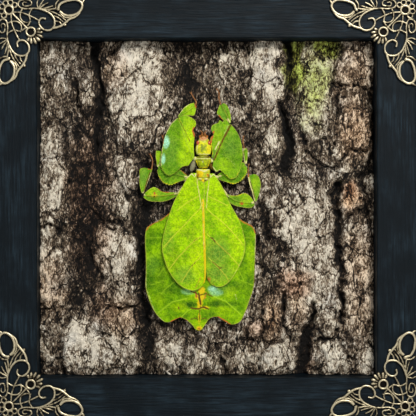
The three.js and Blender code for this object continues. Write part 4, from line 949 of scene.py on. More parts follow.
wingLeftForm = wing(
    wingLeft, -1, overLeft,
    [
        ([(-2.1, -9.2), (-7.7, -12.2), (-12.8, -16.2)], 0.36, 0.2),
        ([(-2.95, 2.2), (-2.95, -2.3), (-1.7, -9.7), (-0.9, -13.6), (-1.5, -15.6)], 0.42, 0.3),
        ([(-1.5, -15.6), (-4.4, -18.4), (-10, -24.4), (-15.6, -30), (-19.9, -35.1)], 0.36, 0.24),
        ([(-1, -29.5), (-4.4, -31.7), (-8.8, -36.2), (-12.8, -40.4), (-16.8, -45.8)], 0.36, 0.24),
        ([(-1, -39.6), (-4.4, -43), (-7.7, -47.5), (-10.8, -52.6)], 0.34, 0.2),
        ([(-1.2, -50.3), (-3.8, -55.4)], 0.3, 0.12),
        (midrib, 0.8, 0.34),
    ],
    [
        ("lime", -3, -40, 4.5, 12, 0.8), ("lime", -8, -9, 7, 8, 0.55), ("lime", -2.6, -2, 4, 5, 0.6),
        ("lime", -13, -24, 5, 5, 0.45), ("lime", -3, -20, 2.4, 5, 0.45), ("deep", -7, -27, 6, 4, 0.35),
        ("deep", -15, -40, 4, 9, 0.4), ("deep", -12, -18, 5, 4, 0.2), ("dull", -9, -49, 7, 6, 0.65),
        ("lime", -1.4, -52, 1.8, 4, 0.8), ("dull", -17.6, -31, 4, 10, 0.45), ("deep", -13, -47, 3, 3, 0.3),
        ("deep", -8, -40, 3, 3, 0.25), ("deep", -4, -34, 2.4, 3, 0.25),
    ],
    [
        ("yellow", midrib, 0.74, 1.2), ("pale", [(-0.2, -11.6), (0.1, -24), (0.5, -36)], 0.26, 0.5),
        ("pale", [(-2.95, 2.2), (-2.95, -2.3), (-1.7, -9.7), (-0.9, -13.6), (-1.5, -15.6)], 0.34, 0.62),
        ("rust", [(0.8, -33.4), (0.9, -35.4)], 0.3, 0.5), ("rust", [(0.9, -46), (1.0, -47.2)], 0.4, 0.4),
        ("brown", [(-2.8, -30.4), (-4.6, -31.9)], 0.36, 0.62),
        ("brown", [(-4.6, -31.9), (-8.8, -36.2)], 0.26, 0.42),
        ("brown", [(-3.9, -42.5), (-5.6, -44.4)], 0.34, 0.62),
        ("brown", [(-7.4, -46.9), (-10.8, -52.6)], 0.24, 0.34),
        ("pale", [(-7.6, 0.4), (-5.7, 2.0), (-4.2, 0.4), (-3.5, 2.2)], 0.34, 0.8),
        ("rust", [(-1.2, -50.3), (-3.8, -55.4)], 0.45, 0.5),
        ("brown", [(-19.6, -40), (-16.8, -47.6), (-11, -54.6)], 0.4, 0.35),
    ],
)
wingRightForm = wing(
    wingRight, 1, overRight,
    [
        ([(2.7, -9.4), (8.1, -11.9), (12.6, -14.2)], 0.36, 0.2),
        ([(3.0, 2.0), (3.0, -2.2), (2, -9.7), (1.7, -15.3)], 0.42, 0.3),
        ([(1.7, -15.3), (4.1, -17.9), (9.2, -21.8), (13.7, -26.1), (20.2, -33.7)], 0.36, 0.24),
        ([(13.7, -26.1), (16.4, -24.6)], 0.3, 0.15),
        ([(2.1, -28.6), (6.4, -32.3), (12.6, -38.2), (18.8, -45)], 0.36, 0.24),
        ([(2.7, -40.2), (5.3, -43), (8.3, -45.8), (11.5, -49.5), (13.2, -52.6)], 0.34, 0.2),
    ],
    [
        ("lime", 7, -6, 6, 8, 0.5), ("lime", 9, -18, 6, 6, 0.35), ("lime", 17, -35, 4, 9, 0.35),
        ("dull", 7, -38, 8, 10, 0.85), ("dull", 8, -48, 9, 7, 0.75), ("deep", 4, -38, 3.4, 5, 0.3),
        ("deep", 6, -48.5, 5, 4, 0.3), ("deep", 5, -22, 3.5, 6, 0.15), ("deep", 13, -32, 4, 4, 0.15),
        ("rust", 2.8, -51.4, 1.8, 2.6, 0.7), ("lime", 10.5, -25, 3, 2.5, 0.5),
    ],
    [
        ("pale", [(3.0, 2.0), (3.0, -2.2), (2, -9.7), (1.7, -15.3)], 0.34, 0.62),
        ("brown", [(3.9, -29.9), (6.2, -32.2)], 0.42, 0.9),
        ("brown", [(6.2, -32.2), (8.1, -33.9)], 0.22, 0.4),
        ("brown", [(8.1, -33.9), (12.6, -38.0)], 0.28, 0.55),
        ("brown", [(12.2, -38.0), (13.2, -38.1)], 0.34, 0.6),
        ("brown", [(4.8, -42.3), (8.6, -45.6)], 0.36, 0.72),
        ("brown", [(8.2, -46), (9.4, -45.3)], 0.4, 0.75),
        ("brown", [(8.8, -46.2), (13.2, -52.6)], 0.22, 0.36),
        ("brown", [(12.6, -51.8), (13.3, -51.3)], 0.34, 0.55),
        ("pale", [(7.0, 0.2), (5.2, 1.9), (3.9, 0.4), (3.5, 2.0)], 0.34, 0.8),
        ("brown", [(1.0, -44), (1.4, -47), (2.6, -51.6), (6, -54.4)], 0.42, 0.5),
        ("pale", [(20.9, -36), (18.4, -44.2), (14.9, -50)], 0.3, 0.35),
    ],
)
leafSheet("wing_right", wingRightForm, wingLook, ["tegmen_right"])
leafSheet("wing_left", wingLeftForm, wingLook, ["tegmen_left"])
print("abdomen and wings made")

# Legs: each femur and tibia is a leafy sheet with a shaft along its axis. A pair shares its height
# over the seat, the slope to the tip, the shaft's half thickness, side veins and teeth (count, size).
builds = {
    "fore": {
        "femur": {"height": 3.6, "slope": 0, "shaft": 0.9, "veins": 5, "teeth": (26, 0.07)},
        "tibia": {"height": 3.4, "slope": -0.9, "shaft": 0.8, "veins": 2},
    },
    "mid": {
        "femur": {"height": 1.95, "slope": 0, "shaft": 0.7, "veins": 4, "teeth": (15, 0.16)},
        "tibia": {"height": 1.95, "slope": -0.5, "shaft": 0.65, "veins": 2},
    },
    "hind": {
        "femur": {"height": 1.5, "slope": 0, "shaft": 0.7, "veins": 4, "teeth": (13, 0.1)},
        "tibia": {"height": 1.5, "slope": -0.3, "shaft": 0.65, "veins": 2},
    },
}
legs = {
    "fore_left": {
        "femur": {
            "axis": [(-5.0, 9.6), (-7.2, 15.4), (-9.6, 21.6), (-12.6, 30.0)],
            "left": [(-6.0, 8.4), (-7.6, 6.2), (-10.3, 5.6), (-13.5, 3.0), (-16.7, 1.2), (-19.2, 2.2),
                     (-21.4, 5.9), (-21.2, 10.4), (-20.2, 17.4), (-18.9, 22), (-16.3, 27), (-13.1, 30.2)],
            "right": [(-4.4, 10.8), (-4.6, 13.5), (-4.7, 16.6), (-4.4, 19.6), (-4.2, 22.2), (-5.0, 24),
                      (-3.7, 26.6), (-3.9, 28.8), (-5.8, 30.4), (-7.8, 31.4), (-9.9, 31.7), (-12.2, 30.6)],
            # the glare spots are painted reflections on the femur's shiny margin
            "spots": [("glare", -18.7, 18.2, 2.1, 3.6, 1.3), ("glare", -20.1, 9.6, 1.3, 2.8, 1.1),
                      ("lime", -6, 20, 6, 13, 1.0), ("lime", -8, 10, 6, 7, 0.6),
                      ("deep", -15, 20, 4, 8, 0.25), ("dull", -17, 14, 5, 10, 0.55)],
            "marks": [("brown", [(-12.6, 30.2), (-9.3, 24), (-6.6, 18.2)], 0.34, 0.6),
                      ("dull", [(-6.6, 18.2), (-5.2, 14.4), (-4.5, 10.3)], 0.5, 0.8),
                      ("yellow", [(-12.0, 30.0), (-8.8, 24.2), (-6.1, 18.4)], 0.3, 0.35),
                      ("rust", [(-4.6, 25.2), (-4.9, 23.6), (-4.2, 21.2)], 0.8, 1.0),
                      ("pale", [(-21.4, 5.9), (-21.2, 10.4), (-20.2, 17.4)], 0.45, 0.6),
                      ("rust", [(-20.2, 17.4), (-19.8, 21.4)], 0.5, 0.8),
                      ("pale", [(-19.4, 21), (-16.3, 27), (-13.1, 30.2)], 0.4, 0.6),
                      ("brown", [(-7.6, 6.2), (-10.3, 5.6), (-13.5, 3.0)], 0.34, 0.6)],
        },
        "tibia": {
            "axis": [(-12.3, 30.7), (-7.6, 34), (-3.9, 36.9)],
            "left": [(-12.7, 31.2), (-9.9, 35.2), (-7.2, 37.2), (-4.6, 38.1)],
            "right": [(-11.6, 30.9), (-7.4, 31.6), (-4.4, 31.9), (-3.3, 36.4)],
            "spots": [("lime", -7, 34, 4, 4, 0.5)],
            "marks": [("rust", [(-4.0, 37.4), (-3.5, 35.8)], 0.6, 0.9),
                      ("pale", [(-12.7, 31.2), (-9.9, 35.2), (-7.2, 37.2)], 0.36, 0.6),
                      ("dull", [(-12.3, 30.7), (-7.6, 34), (-3.9, 36.9)], 0.3, 0.6)],
        },
        "tarsus": [(-3.9, 37.0, 2.4), (-3.4, 38.2, 2.2), (-4.1, 39.7, 1.6), (-5.1, 41.3, 1.0),
                   (-6.0, 43.0, 0.8)],
    },
    "fore_right": {
        "femur": {
            "axis": [(5.2, 9.6), (7.4, 15.2), (10, 20.8), (13.5, 26.9)],
            "left": [(4.4, 10.6), (4.7, 13.8), (3.9, 17.2), (3.8, 20.2), (5.6, 22.3), (4.1, 24.5),
                     (4.6, 26.4), (6.3, 27.4), (7.7, 27.9), (8.4, 29.2), (9.8, 28.3), (11.5, 29.5),
                     (13.1, 27.6)],
            "right": [(5.6, 8.6), (4.9, 5.4), (6.7, 3.1), (8.6, 3.9), (11.4, 1.5), (13.8, -0.5), (16.6, 0.1),
                      (18.6, 3.5), (19.6, 7.8), (20.1, 12), (19.2, 18.1), (17.3, 22.9), (14.1, 27)],
            "teeth": (26, 0.05),
            "spots": [("deep", 15, 12, 6, 12, 0.35), ("dull", 14, 16, 5, 8, 0.5),
                      ("lime", 7, 19, 4, 8, 0.35), ("lime", 11, 6, 5, 5, 0.3),
                      ("dull", 7, 25, 4, 3, 0.4), ("deep", 8, 22, 3, 4, 0.3)],
            "marks": [("brown", [(13.8, 26.4), (9.6, 18.2)], 0.6, 0.85),
                      ("brown", [(9.6, 18.2), (5.6, 9.2)], 0.66, 0.72),
                      ("pale", [(12.6, 26.6), (10.8, 22.4)], 0.3, 0.5),
                      ("pale", [(8.2, 18.2), (6.2, 14.4)], 0.4, 1.0),
                      ("dull", [(6.2, 14.4), (4.6, 9.4)], 0.7, 0.9),
                      ("yellow", [(9.9, 17.0), (6.4, 9.4)], 0.3, 0.4),
                      ("pale", [(9.4, 12.4), (12.6, 10), (16.3, 6.6)], 0.26, 0.42),
                      ("rust", [(5.4, 23.4), (4.6, 20.6), (4.0, 18.0)], 0.62, 0.95),
                      ("yellow", [(4.0, 18.4), (4.3, 15.4), (4.6, 12)], 0.4, 0.7),
                      ("pale", [(4.9, 5.6), (6.7, 3.3), (8.6, 4.0)], 0.4, 0.6),
                      ("yellow", [(11.4, 1.5), (13.8, -0.4), (16.6, 0.2), (18.4, 3.5)], 0.34, 0.5)],
        },
        "tibia": {
            "axis": [(13.4, 27.6), (11.6, 32.6), (9.2, 36.9)],
            "left": [(12.6, 28.6), (10.2, 29.2), (7.2, 32.4), (7.5, 34.6), (8.3, 36.9)],
            "right": [(14.0, 27.9), (14.0, 31.3), (13, 35), (11.7, 37.2), (10.1, 37.9)],
            "spots": [("dull", 10.5, 33, 3, 5, 0.5)],
            "marks": [("rust", [(9.6, 29.6), (8.2, 31.4)], 0.5, 0.8),
                      ("pale", [(13.2, 27.9), (12.6, 29.6)], 0.8, 0.7),
                      ("brown", [(12.8, 30), (11.8, 33), (9.4, 36.8)], 0.24, 0.6)],
        },
        "tarsus": [(9.0, 36.9, 2.4), (8.5, 38.6, 2.1), (8.0, 40.6, 1.5), (8.1, 43, 0.9), (7.3, 44.8, 0.8)],
    },
    "mid_left": {
        "femur": {
            "axis": [(-7.6, 0.1), (-12.2, 1.6), (-17.4, 3.2), (-22.6, 4.9)],
            "left": [(-8.0, 1.4), (-11, 3.8), (-14.6, 5.6), (-18.4, 7.0), (-21.4, 7.0), (-22.9, 5.6)],
            "right": [(-7.9, -0.8), (-10.1, -1.2), (-13, -2.3), (-16.4, -3.6), (-19.4, -2.8), (-20.9, -1.6),
                      (-22.5, 0.8), (-23.2, 4.0)],
            "spots": [("deep", -15, 1.5, 8, 4, 0.5)],
            "marks": [("pale", [(-7.6, 0.1), (-9.2, 0.6)], 0.7, 0.8),
                      ("yellow", [(-13, -2.2), (-16.4, -3.5), (-19.4, -2.7), (-22.4, 0.8)], 0.36, 0.5),
                      ("rust", [(-8.1, 1.4), (-11, 3.7)], 0.4, 0.6)],
        },
        "tibia": {
            "axis": [(-22.6, 5.4), (-21.9, 9.2), (-20.9, 13.6)],
            "left": [(-23.3, 5.8), (-23.6, 8.4), (-24.0, 11.4), (-23.8, 13.9)],
            "right": [(-22.2, 6.2), (-21.5, 9.4), (-20.6, 12.4), (-20.5, 13.8)],
            "spots": [("lime", -22.4, 10, 2, 4, 0.5)],
            "marks": [("pale", [(-22.2, 5.6), (-21.6, 9.4), (-20.7, 12.4), (-20.5, 13.6)], 0.42, 0.8),
                      ("pale", [(-23, 4.8), (-22.4, 6.2)], 0.7, 0.8)],
        },
        "tarsus": [(-20.9, 13.4, 1.4), (-20.3, 15.6, 1.2), (-20.0, 17.8, 0.9), (-20.5, 21.2, 0.75)],
    },
    "mid_right": {
        "femur": {
            "axis": [(7.2, 0.4), (11.8, 2.2), (16.6, 4.2), (21.3, 6.6)],
            "left": [(7.5, 1.6), (10.6, 4.4), (14, 6.2), (17.6, 7.9), (20.6, 7.9)],
            "right": [(7.5, -0.4), (9.7, -1.4), (12.8, -2.4), (15.6, -3.1), (18.6, -1.8), (20.6, -0.2),
                      (22.2, 2.6), (22.3, 5.2)],
            "spots": [("deep", 14, 2.5, 8, 4, 0.5)],
            "marks": [("pale", [(7.2, 0.4), (8.8, 1.0)], 0.7, 0.8),
                      ("yellow", [(12.8, -2.3), (15.6, -3.0), (18.6, -1.7), (22.1, 2.6)], 0.36, 0.5)],
        },
        "tibia": {
            "axis": [(21.4, 7.1), (21.2, 11), (20.9, 15)],
            "left": [(20.9, 7.6), (20.7, 10), (20.4, 12.6), (20.3, 15.1)],
            "right": [(22.1, 7.4), (22.4, 9.6), (22.7, 13), (22.0, 15.2)],
            "spots": [("pale", 20.6, 15, 1.4, 1.2, 1.2), ("pale", 21.6, 7.8, 1.4, 1.2, 1.2)],
            "marks": [("pale", [(20.9, 7.6), (20.7, 10), (20.4, 12.6)], 0.4, 0.7)],
        },
        "tarsus": [(20.9, 14.8, 1.4), (20.5, 16.6, 1.2), (20.2, 18.6, 0.9), (20.4, 20.8, 0.75)],
    },
    "hind_left": {
        "femur": {
            "axis": [(-12.8, -8.0), (-18.4, -8.8), (-24.2, -9.2), (-30.0, -8.7)],
            "left": [(-13.2, -9.0), (-15.3, -10.3), (-17.8, -11.3), (-20.9, -12), (-25.5, -11.9),
                     (-28.2, -11.3), (-30.2, -9.8)],
            "right": [(-13.4, -7.4), (-17.3, -7.1), (-20.9, -6.8), (-22.4, -5.6), (-25, -4.6), (-27.5, -5.9),
                      (-29.6, -7.8)],
            "spots": [("rust", -24.6, -7.7, 0.7, 0.9, 1.3), ("brown", -24.7, -9.5, 0.6, 0.6, 1.0),
                      ("yellow", -24.6, -8.8, 2.4, 2.2, 0.55), ("lime", -26, -7, 4, 3, 0.5),
                      ("deep", -24, -11, 6, 2, 0.4)],
            "marks": [("rust", [(-28, -9.1), (-18.4, -8.9), (-13.4, -8.1)], 0.3, 0.5),
                      ("pale", [(-12.8, -8), (-14.4, -8.2)], 0.6, 0.8),
                      ("pale", [(-29.6, -8.6), (-30.4, -8)], 0.7, 0.9),
                      ("rust", [(-17.3, -7.2), (-20.9, -6.9), (-22.4, -5.8)], 0.36, 0.7)],
        },
        "tibia": {
            "axis": [(-30.5, -7.8), (-28.6, -1.8), (-26.3, 4.4)],
            "left": [(-31.2, -7.4), (-32.1, -3.4), (-32.2, 1.4), (-31.9, 4.6), (-29.4, 5.2)],
            "right": [(-29.9, -7.2), (-28.6, -3.6), (-27.4, -0.4), (-26.3, 2.6), (-25.6, 4.9)],
            "spots": [("dull", -30, 0, 3, 6, 0.7), ("pale", -30.4, -7.6, 1.2, 1.2, 1.1)],
            "marks": [("brown", [(-29.8, -6.6), (-28.6, -2.4), (-26.8, 3.0)], 0.42, 0.8),
                      ("pale", [(-29.7, -7.2), (-28.4, -3.6), (-27.2, -0.4), (-26.2, 2.6)], 0.46, 0.9),
                      ("rust", [(-27.6, 4.8), (-26, 4.6)], 0.5, 0.7)],
        },
        "tarsus": [(-26.2, 4.4, 1.15), (-25.7, 6.6, 0.95), (-25.7, 9.4, 0.8), (-26.8, 11.9, 0.75)],
    },
    "hind_right": {
        "femur": {
            "axis": [(12.0, -8.9), (16.4, -11.4), (21, -12.4), (26.0, -12.7)],
            "left": [(12.2, -9.6), (13.3, -12.3), (15.7, -13.8), (18.1, -14.5), (21.8, -15.1), (24.2, -15.1),
                     (26.0, -13.9)],
            "right": [(12.3, -8.2), (14.5, -8.8), (17.4, -8.8), (20.3, -7.7), (22.4, -8.1), (24.3, -9.8),
                      (25.8, -12)],
            "spots": [("rust", 19.7, -12.9, 0.9, 0.9, 1.3), ("yellow", 19.7, -12.7, 2.0, 1.6, 0.55),
                      ("lime", 22, -11, 4, 3, 0.5), ("deep", 18, -11, 5, 2, 0.4)],
            "marks": [("pale", [(25.0, -12.6), (26.2, -12.2)], 0.8, 0.9),
                      ("pale", [(12.0, -8.9), (13, -9.6)], 0.5, 0.7),
                      ("yellow", [(14.5, -9), (17.4, -9), (20.3, -7.9), (22.4, -8.3)], 0.34, 0.5)],
        },
        "tibia": {
            "axis": [(26.5, -12.0), (25.2, -5.4), (23.4, 1.3)],
            "left": [(25.9, -11.6), (25.0, -7.6), (23.6, -3.4), (22.8, 0.4), (22.7, 2.1)],
            "right": [(27.2, -11.4), (28.7, -7), (29.2, -2.8), (27.8, 1.2), (25.6, 2.0)],
            "spots": [("lime", 26.5, -3, 2.5, 5, 0.5), ("dull", 27.5, -5, 2, 5, 0.5)],
            "marks": [("brown", [(26.2, -10.2), (25.3, -6.4), (24, -2.0)], 0.4, 0.6),
                      ("pale", [(26.2, -11.8), (25.3, -7.6), (23.9, -3.4), (23.1, 0.6)], 0.46, 0.9),
                      ("rust", [(22.9, 0.8), (23.2, 1.9)], 0.5, 0.8)],
        },
        "tarsus": [(23.2, 1.4, 1.1), (22.9, 3.0, 0.78), (22.9, 4.8, 0.74), (23.1, 6.6, 0.74)],
    },
}


# Side veins leave the shaft and run out and towards the tip
def sideVeins(limb):
    count = limb["veins"]
    veins = [([through(limb["axis"], k / 12) for k in range(13)], 0.42, 0.12)]
    for margin in (limb["left"], limb["right"]):
        for k in range(count):
            start = through(limb["axis"], (k + 0.4) / (count + 0.6))
            end = through(margin, (k + 1.3) / (count + 0.9))
            veins.append(([start, end], 0.26, 0.08))
    return veins


def leafyLimb(name, limb):
    form = {
        **limb,
        "rows": 90,
        "columns": 64,
        "lift": lambda s, t, x, z: limb["height"] + limb["slope"] * t,
        "half": lambda s, t, x, z: rim + (limb["shaft"] - rim) * hump(s, 0.2),
        "veins": sideVeins(limb),
        "trim": 0.45,
    }
    leafSheet(name + "_skin", form, legLook, [name])


tarsusLook = Look("brown cuticle", Roughness=0.45)
band = tarsusLook.grain(tarsusLook.place(), 0.8, 3)
tarsusLook.set("Base Color", tarsusLook.ramp(band, (0.3, (0.10, 0.03, 0.008)), (0.7, (0.42, 0.17, 0.03))))
tarsusLook.bump(band, 0.08)
feet = {"radius": 0.5, "joints": 5, "hooks": 0.9}
antennae = {
    "radius": 0.42, "joints": 7, "hooks": 0,
    "points": [(0.75, 21.4, 2.9), (0.5, 22.7, 3.1), (1.7, 24.1, 3.0)],
}


# Jointed tubes: tarsi and antennae, thickest at the end of each joint
def jointed(name, points, build, node):
    radius = build["radius"]
    hooks = build["hooks"]
    curve = newCurve(name, 3)
    spline = curve.splines.new("POLY")
    steps = build["joints"] * 6
    spline.points.add(steps)
    for k, dot in enumerate(spline.points):
        dot.co = (*specimenPoint(*through(points, k / steps)), 1)
        dot.radius = radius * (1 - 0.3 * k / steps) * (0.72 + 0.34 * ((k % 6) / 5) ** 2)
    if hooks:
        tip = Vector(through(points, 1))
        ahead = (tip - Vector(through(points, 0.9))).normalized()
        for side in (-1, 1):
            hook = curve.splines.new("POLY")
            hook.points.add(4)
            for k, dot in enumerate(hook.points):
                share = k / 4
                spread = side * hooks * 0.5 * math.sin(share * 2.2)
                off = Vector((-ahead.y * spread, ahead.x * spread, -0.1 * share))
                dot.co = (*specimenPoint(*(tip + ahead * hooks * share + off)), 1)
                dot.radius = radius * 0.5 * (1 - 0.75 * share)
    bm = curveMesh(curve)
    bmesh.ops.recalc_face_normals(bm, faces=bm.faces)
    piece(name, bm, tarsusLook, [node])


for name, leg in legs.items():
    for part, build in builds[name.split("_")[0]].items():
        leafyLimb(name + "_" + part, {**build, **leg[part]})
    jointed(name + "_foot", leg["tarsus"], feet, name + "_tarsus")
print("legs made")


# A rounded rod between two points of the specimen
def rod(bm, layers, start, end, radius, kind, strength):
    start, end = specimenPoint(*start), specimenPoint(*end)
    turn = (end - start).to_track_quat("Z", "Y").to_matrix().to_4x4()
    reach = (end - start).length / 2 + 0.4 * radius * mm
    stretch = Matrix.Diagonal((radius * mm, radius * mm, reach, 1))
    place = Matrix.Translation((start + end) / 2) @ turn @ stretch
    made = bmesh.ops.create_uvsphere(bm, u_segments=18, v_segments=14, radius=1, matrix=place)
    for vertex in made["verts"]:
        vertex[layers[kind]] = strength


# An ellipsoid round a point of the specimen
def ball(bm, steps, x, z, w, rx, rz, rw):
    made = bmesh.ops.create_uvsphere(bm, u_segments=steps, v_segments=steps * 3 // 4, radius=1)
    for vertex in made["verts"]:
        nx, ny, nz = vertex.co
        vertex.co = specimenPoint(x + rx * nx, z + rz * nz, w - rw * ny)
    return made["verts"]


# A closed plate of the body: an ellipsoid stretched over a list of half widths
def shell(name, form, look, node):
    bm = bmesh.new()
    bmesh.ops.create_uvsphere(bm, u_segments=80, v_segments=60, radius=1)
    layers = paintLayers(bm)
    knots = [(width, 0) for width in form["widths"]]
    for vertex in bm.verts:
        nx, ny, nz = vertex.co
        t = 0.5 + 0.5 * max(-1, min(1, nz * 1.02))
        ringSize = math.sqrt(max(0, 1 - nz * nz))
        full = min(1, ringSize * form["blunt"])
        across = nx / ringSize if ringSize > 1e-6 else 0
        outward = -ny / ringSize if ringSize > 1e-6 else 0
        wide = through(knots, t)[0]
        floorW, crownW = form["floor"], form["crown"](t)
        x = form["centre"] + wide * across * full
        z = form["z0"] + (form["z1"] - form["z0"]) * t
        w = (floorW + crownW) / 2 + (crownW - floorW) / 2 * outward * full
        if outward > 0:
            for points, width, depth in form["grooves"]:
                share = lineShare(x, z, points, width)
                w -= depth * share
                vertex[layers["vein"]] = max(vertex[layers["vein"]], share)
        paint(vertex, layers, x, z, form["spots"], form["marks"])
        vertex.co = specimenPoint(x, z, w)
    for *measures, kind, strength in form["knobs"]:
        for vertex in ball(bm, 16, *measures):
            vertex[layers[kind]] = strength
    for start, end, radius, kind, strength in form.get("rods", []):
        rod(bm, layers, start, end, radius, kind, strength)
    bmesh.ops.recalc_face_normals(bm, faces=bm.faces)
    piece(name, bm, look, [node])


plateLook = leafLook("yellow plates", (0.92, 0.88, 0.03), (0.72, 0.72, 0.02), (0.30, 0.30, 0.06), 0.5)
collarLook = leafLook("olive collar", (0.50, 0.54, 0.012), (0.34, 0.40, 0.01), (0.20, 0.22, 0.02), 0.7)
headX = 0.25
shell(
    "head_shell",
    {
        "widths": [3.0, 3.7, 4.0, 3.9, 3.4, 2.8, 2.1, 1.5],
        "z0": 11.1, "z1": 21.9, "floor": 1.3, "centre": headX, "blunt": 1.8,
        "crown": lambda t: 5.4 - 1.9 * t * t,
        "grooves": [([(-0.9, 16.6), (-0.2, 15.0), (-0.6, 13.6)], 0.5, 0.12),
                    ([(1.5, 16.4), (0.1, 14.6)], 0.5, 0.12),
                    ([(-2.4, 19.2), (0.25, 18.6), (2.9, 19.2)], 0.35, 0.2)],
        "spots": [("rust", 0.2, 22.2, 2.6, 1.9, 1.6), ("dull", 0.1, 15.0, 2.0, 2.4, 0.55),
                  ("blush", 0.2, 20.2, 3.4, 1.8, 1.3), ("pale", 0.4, 18.2, 2.4, 0.6, 0.6),
                  ("yellow", 2.6, 14, 1.4, 3, 0.6)],
        # painted shade along the head's grooves
        "marks": [("deep", [(-1.0, 16.8), (-0.3, 15.0), (-0.8, 13.2)], 0.6, 0.55),
                  ("deep", [(1.6, 16.4), (0.1, 14.6)], 0.55, 0.5),
                  ("pale", [(-2.3, 18.8), (-2.8, 16.0), (-3.2, 12.6)], 0.45, 0.6),
                  ("rust", [(-1.4, 20.4), (0.2, 19.6), (1.9, 20.4)], 0.5, 0.6),
                  ("brown", [(-1.0, 21.2), (0.2, 21.6), (1.5, 21.2)], 0.9, 0.75),
                  ("pale", [(-3.0, 11.9), (3.2, 11.9)], 0.36, 0.7)],
        "knobs": [(-0.5, 21.8, 2.4, 0.5, 0.9, 0.5, "rust", 1.2),
                  (1.0, 21.8, 2.4, 0.5, 0.9, 0.5, "rust", 1.2),
                  (-1.5, 20.9, 2.6, 0.55, 0.7, 0.6, "rust", 1.2),
                  (2.0, 20.9, 2.6, 0.55, 0.7, 0.6, "rust", 1.2)],
    },
    plateLook, "head",
)
shell(
    "collar_shell",
    {
        "widths": [2.1, 2.7, 3.3, 3.8, 4.1, 3.9, 3.2],
        "z0": 4.9, "z1": 11.0, "floor": 1.2, "centre": 0.1, "blunt": 2.4,
        "crown": lambda t: 4.9 + 0.8 * math.sin(math.pi * t),
        "grooves": [([(-2.2, 8.8), (-0.2, 8.8), (0.4, 6.4)], 0.5, 0.25),
                    ([(-2.9, 8.4), (-2.2, 5.9), (2.2, 5.9), (2.9, 8.4)], 0.4, 0.25),
                    ([(-3.2, 10.2), (3.2, 10.2)], 0.35, 0.35)],
        "spots": [("lime", 0.1, 7.0, 2.0, 1.8, 0.5), ("pale", -0.1, 8.2, 0.8, 0.8, 0.6)],
        # painted shade along the collar's groove
        "marks": [("deep", [(-1.0, 8.7), (-0.3, 8.7), (0.5, 6.5)], 0.3, 0.6),
                  ("brown", [(-2.6, 7.6), (-1.8, 5.6), (1.8, 5.6), (2.6, 7.6)], 0.3, 0.38),
                  ("yellow", [(-3.3, 8.6), (-2.4, 5.2), (2.4, 5.2), (3.3, 8.6)], 0.42, 0.6),
                  ("pale", [(-3.4, 9.7), (3.4, 9.7)], 0.4, 0.7),
                  ("brown", [(0.8, 10.6), (3.0, 10.5)], 0.34, 0.8),
                  ("brown", [(-2.6, 10.6), (-1.2, 10.6)], 0.3, 0.6),
                  ("pale", [(-2.4, 11), (2.6, 11)], 0.36, 0.6)],
        "knobs": [(-3.9, 9.7, 2.9, 1.1, 1.1, 1.3, "pale", 0.75),
                  (4.4, 8.7, 2.9, 0.9, 1.0, 1.2, "pale", 0.9)],
        "rods": [((-4.4, 8.6, 2.2), (-6.0, 3.6, 1.9), 1.35, "ash", 1.2),
                 ((-3.6, 9.6, 2.4), (-5.4, 9.8, 3.0), 1.0, "ash", 1.0),
                 ((4.0, 9.4, 2.4), (5.6, 9.7, 3.0), 1.0, "ash", 1.0),
                 ((3.4, 7.6, 1.8), (5.0, 4.4, 1.6), 1.2, "brown", 0.9)],
    },
    collarLook, "prothorax",
)
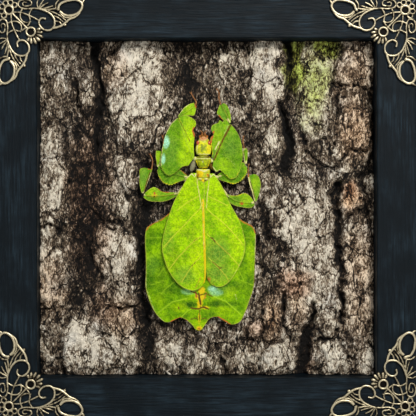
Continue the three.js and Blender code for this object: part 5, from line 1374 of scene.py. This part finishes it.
shell(
    "saddle_shell",
    {
        "widths": [3.0, 3.2, 3.4, 3.5, 3.4, 3.5, 3.2],
        "z0": -2.4, "z1": 4.7, "floor": 0.6, "centre": 0.0, "blunt": 2.2,
        "crown": lambda t: 5.0 - 0.5 * (2 * t - 1) ** 2,
        "grooves": [([(0.1, 4.0), (0.1, 0.8)], 0.35, 0.12), ([(-3, 0.1), (3, 0.1)], 0.4, 0.35)],
        "spots": [("yellow", -1.6, 2.2, 2.2, 2.6, 1.3), ("yellow", 2.4, 1.4, 1.4, 1.6, 0.7),
                  ("dull", 1.4, 2.4, 1.8, 2.0, 0.45), ("yellow", -0.2, -1.4, 1.2, 1.2, 1.2)],
        "marks": [("pale", [(-3.4, 4.4), (-1.4, 4.0), (0.5, 3.3), (1.8, 3.9), (3.4, 4.5)], 0.5, 1.0),
                  ("brown", [(-3.2, 4.8), (3.2, 4.8)], 0.3, 0.7),
                  ("rust", [(-2.8, 0.8), (-2.4, 1.6)], 0.6, 0.7),
                  ("rust", [(2.7, 0.8), (2.3, 1.6)], 0.6, 0.7),
                  # painted shade along the saddle's cross groove
                  ("deep", [(-3, 0.1), (3, 0.1)], 0.34, 0.6),
                  ("brown", [(-2.5, -1.5), (-1.4, -1.6)], 0.5, 1.0),
                  ("brown", [(0.9, -1.5), (2.5, -1.4)], 0.5, 1.0),
                  ("pale", [(-2.9, -2.2), (2.9, -2.2)], 0.3, 0.6)],
        "knobs": [(-1.6, -0.6, 4.6, 0.95, 0.55, 0.6, "pale", 1.0),
                  (1.5, -0.6, 4.6, 0.95, 0.55, 0.6, "pale", 1.0),
                  (-0.2, -1.6, 4.5, 0.8, 0.8, 0.6, "yellow", 1.0)],
        "rods": [((-3.0, 1.6, 2.0), (-7.2, 0.3, 1.9), 1.0, "brown", 0.6),
                 ((-6.6, 0.5, 1.95), (-8.6, -0.3, 2.0), 0.85, "pale", 1.0),
                 ((3.0, 1.6, 2.0), (6.0, 0.6, 1.9), 1.0, "brown", 0.6),
                 ((5.6, 0.6, 1.95), (7.8, 0.4, 2.0), 0.85, "pale", 1.0),
                 ((-3.0, -1.4, 1.5), (-9.6, -4.4, 1.3), 1.1, "ash", 1.0),
                 ((-9.0, -3.8, 1.4), (-12.9, -8.0, 1.5), 0.85, "pale", 1.0),
                 ((3.0, -1.4, 1.5), (9.4, -5.4, 1.3), 1.1, "ash", 1.0),
                 ((9.0, -5.0, 1.4), (12.2, -8.9, 1.5), 0.85, "pale", 1.0)],
    },
    plateLook, "mesothorax",
)

eyes = {"facet": 0.16, "x": 2.9, "z": 17.7, "w": 3.9, "size": (0.85, 1.15, 0.95)}
eyeLook = Look("red eye", Roughness=0.22, Coat_Weight=0.6)
facets = eyeLook.cells(eyeLook.place(), eyes["facet"], "DISTANCE_TO_EDGE")
eyeLook.set("Base Color", eyeLook.ramp(facets, (0.0, (0.38, 0.05, 0.006)), (0.5, (0.80, 0.17, 0.025))))
eyeLook.bump(facets, 0.05)
for side, hand in ((-1, "left"), (1, "right")):
    bm = bmesh.new()
    ball(bm, 32, headX + side * eyes["x"], eyes["z"], eyes["w"], *eyes["size"])
    bmesh.ops.recalc_face_normals(bm, faces=bm.faces)
    piece("eye_" + hand + "_ball", bm, eyeLook, ["eye_" + hand])
    feeler = [(headX + side * x, z, w) for x, z, w in antennae["points"]]
    jointed("antenna_" + hand + "_rings", feeler, antennae, "antenna_" + hand)
print("head and thorax made")
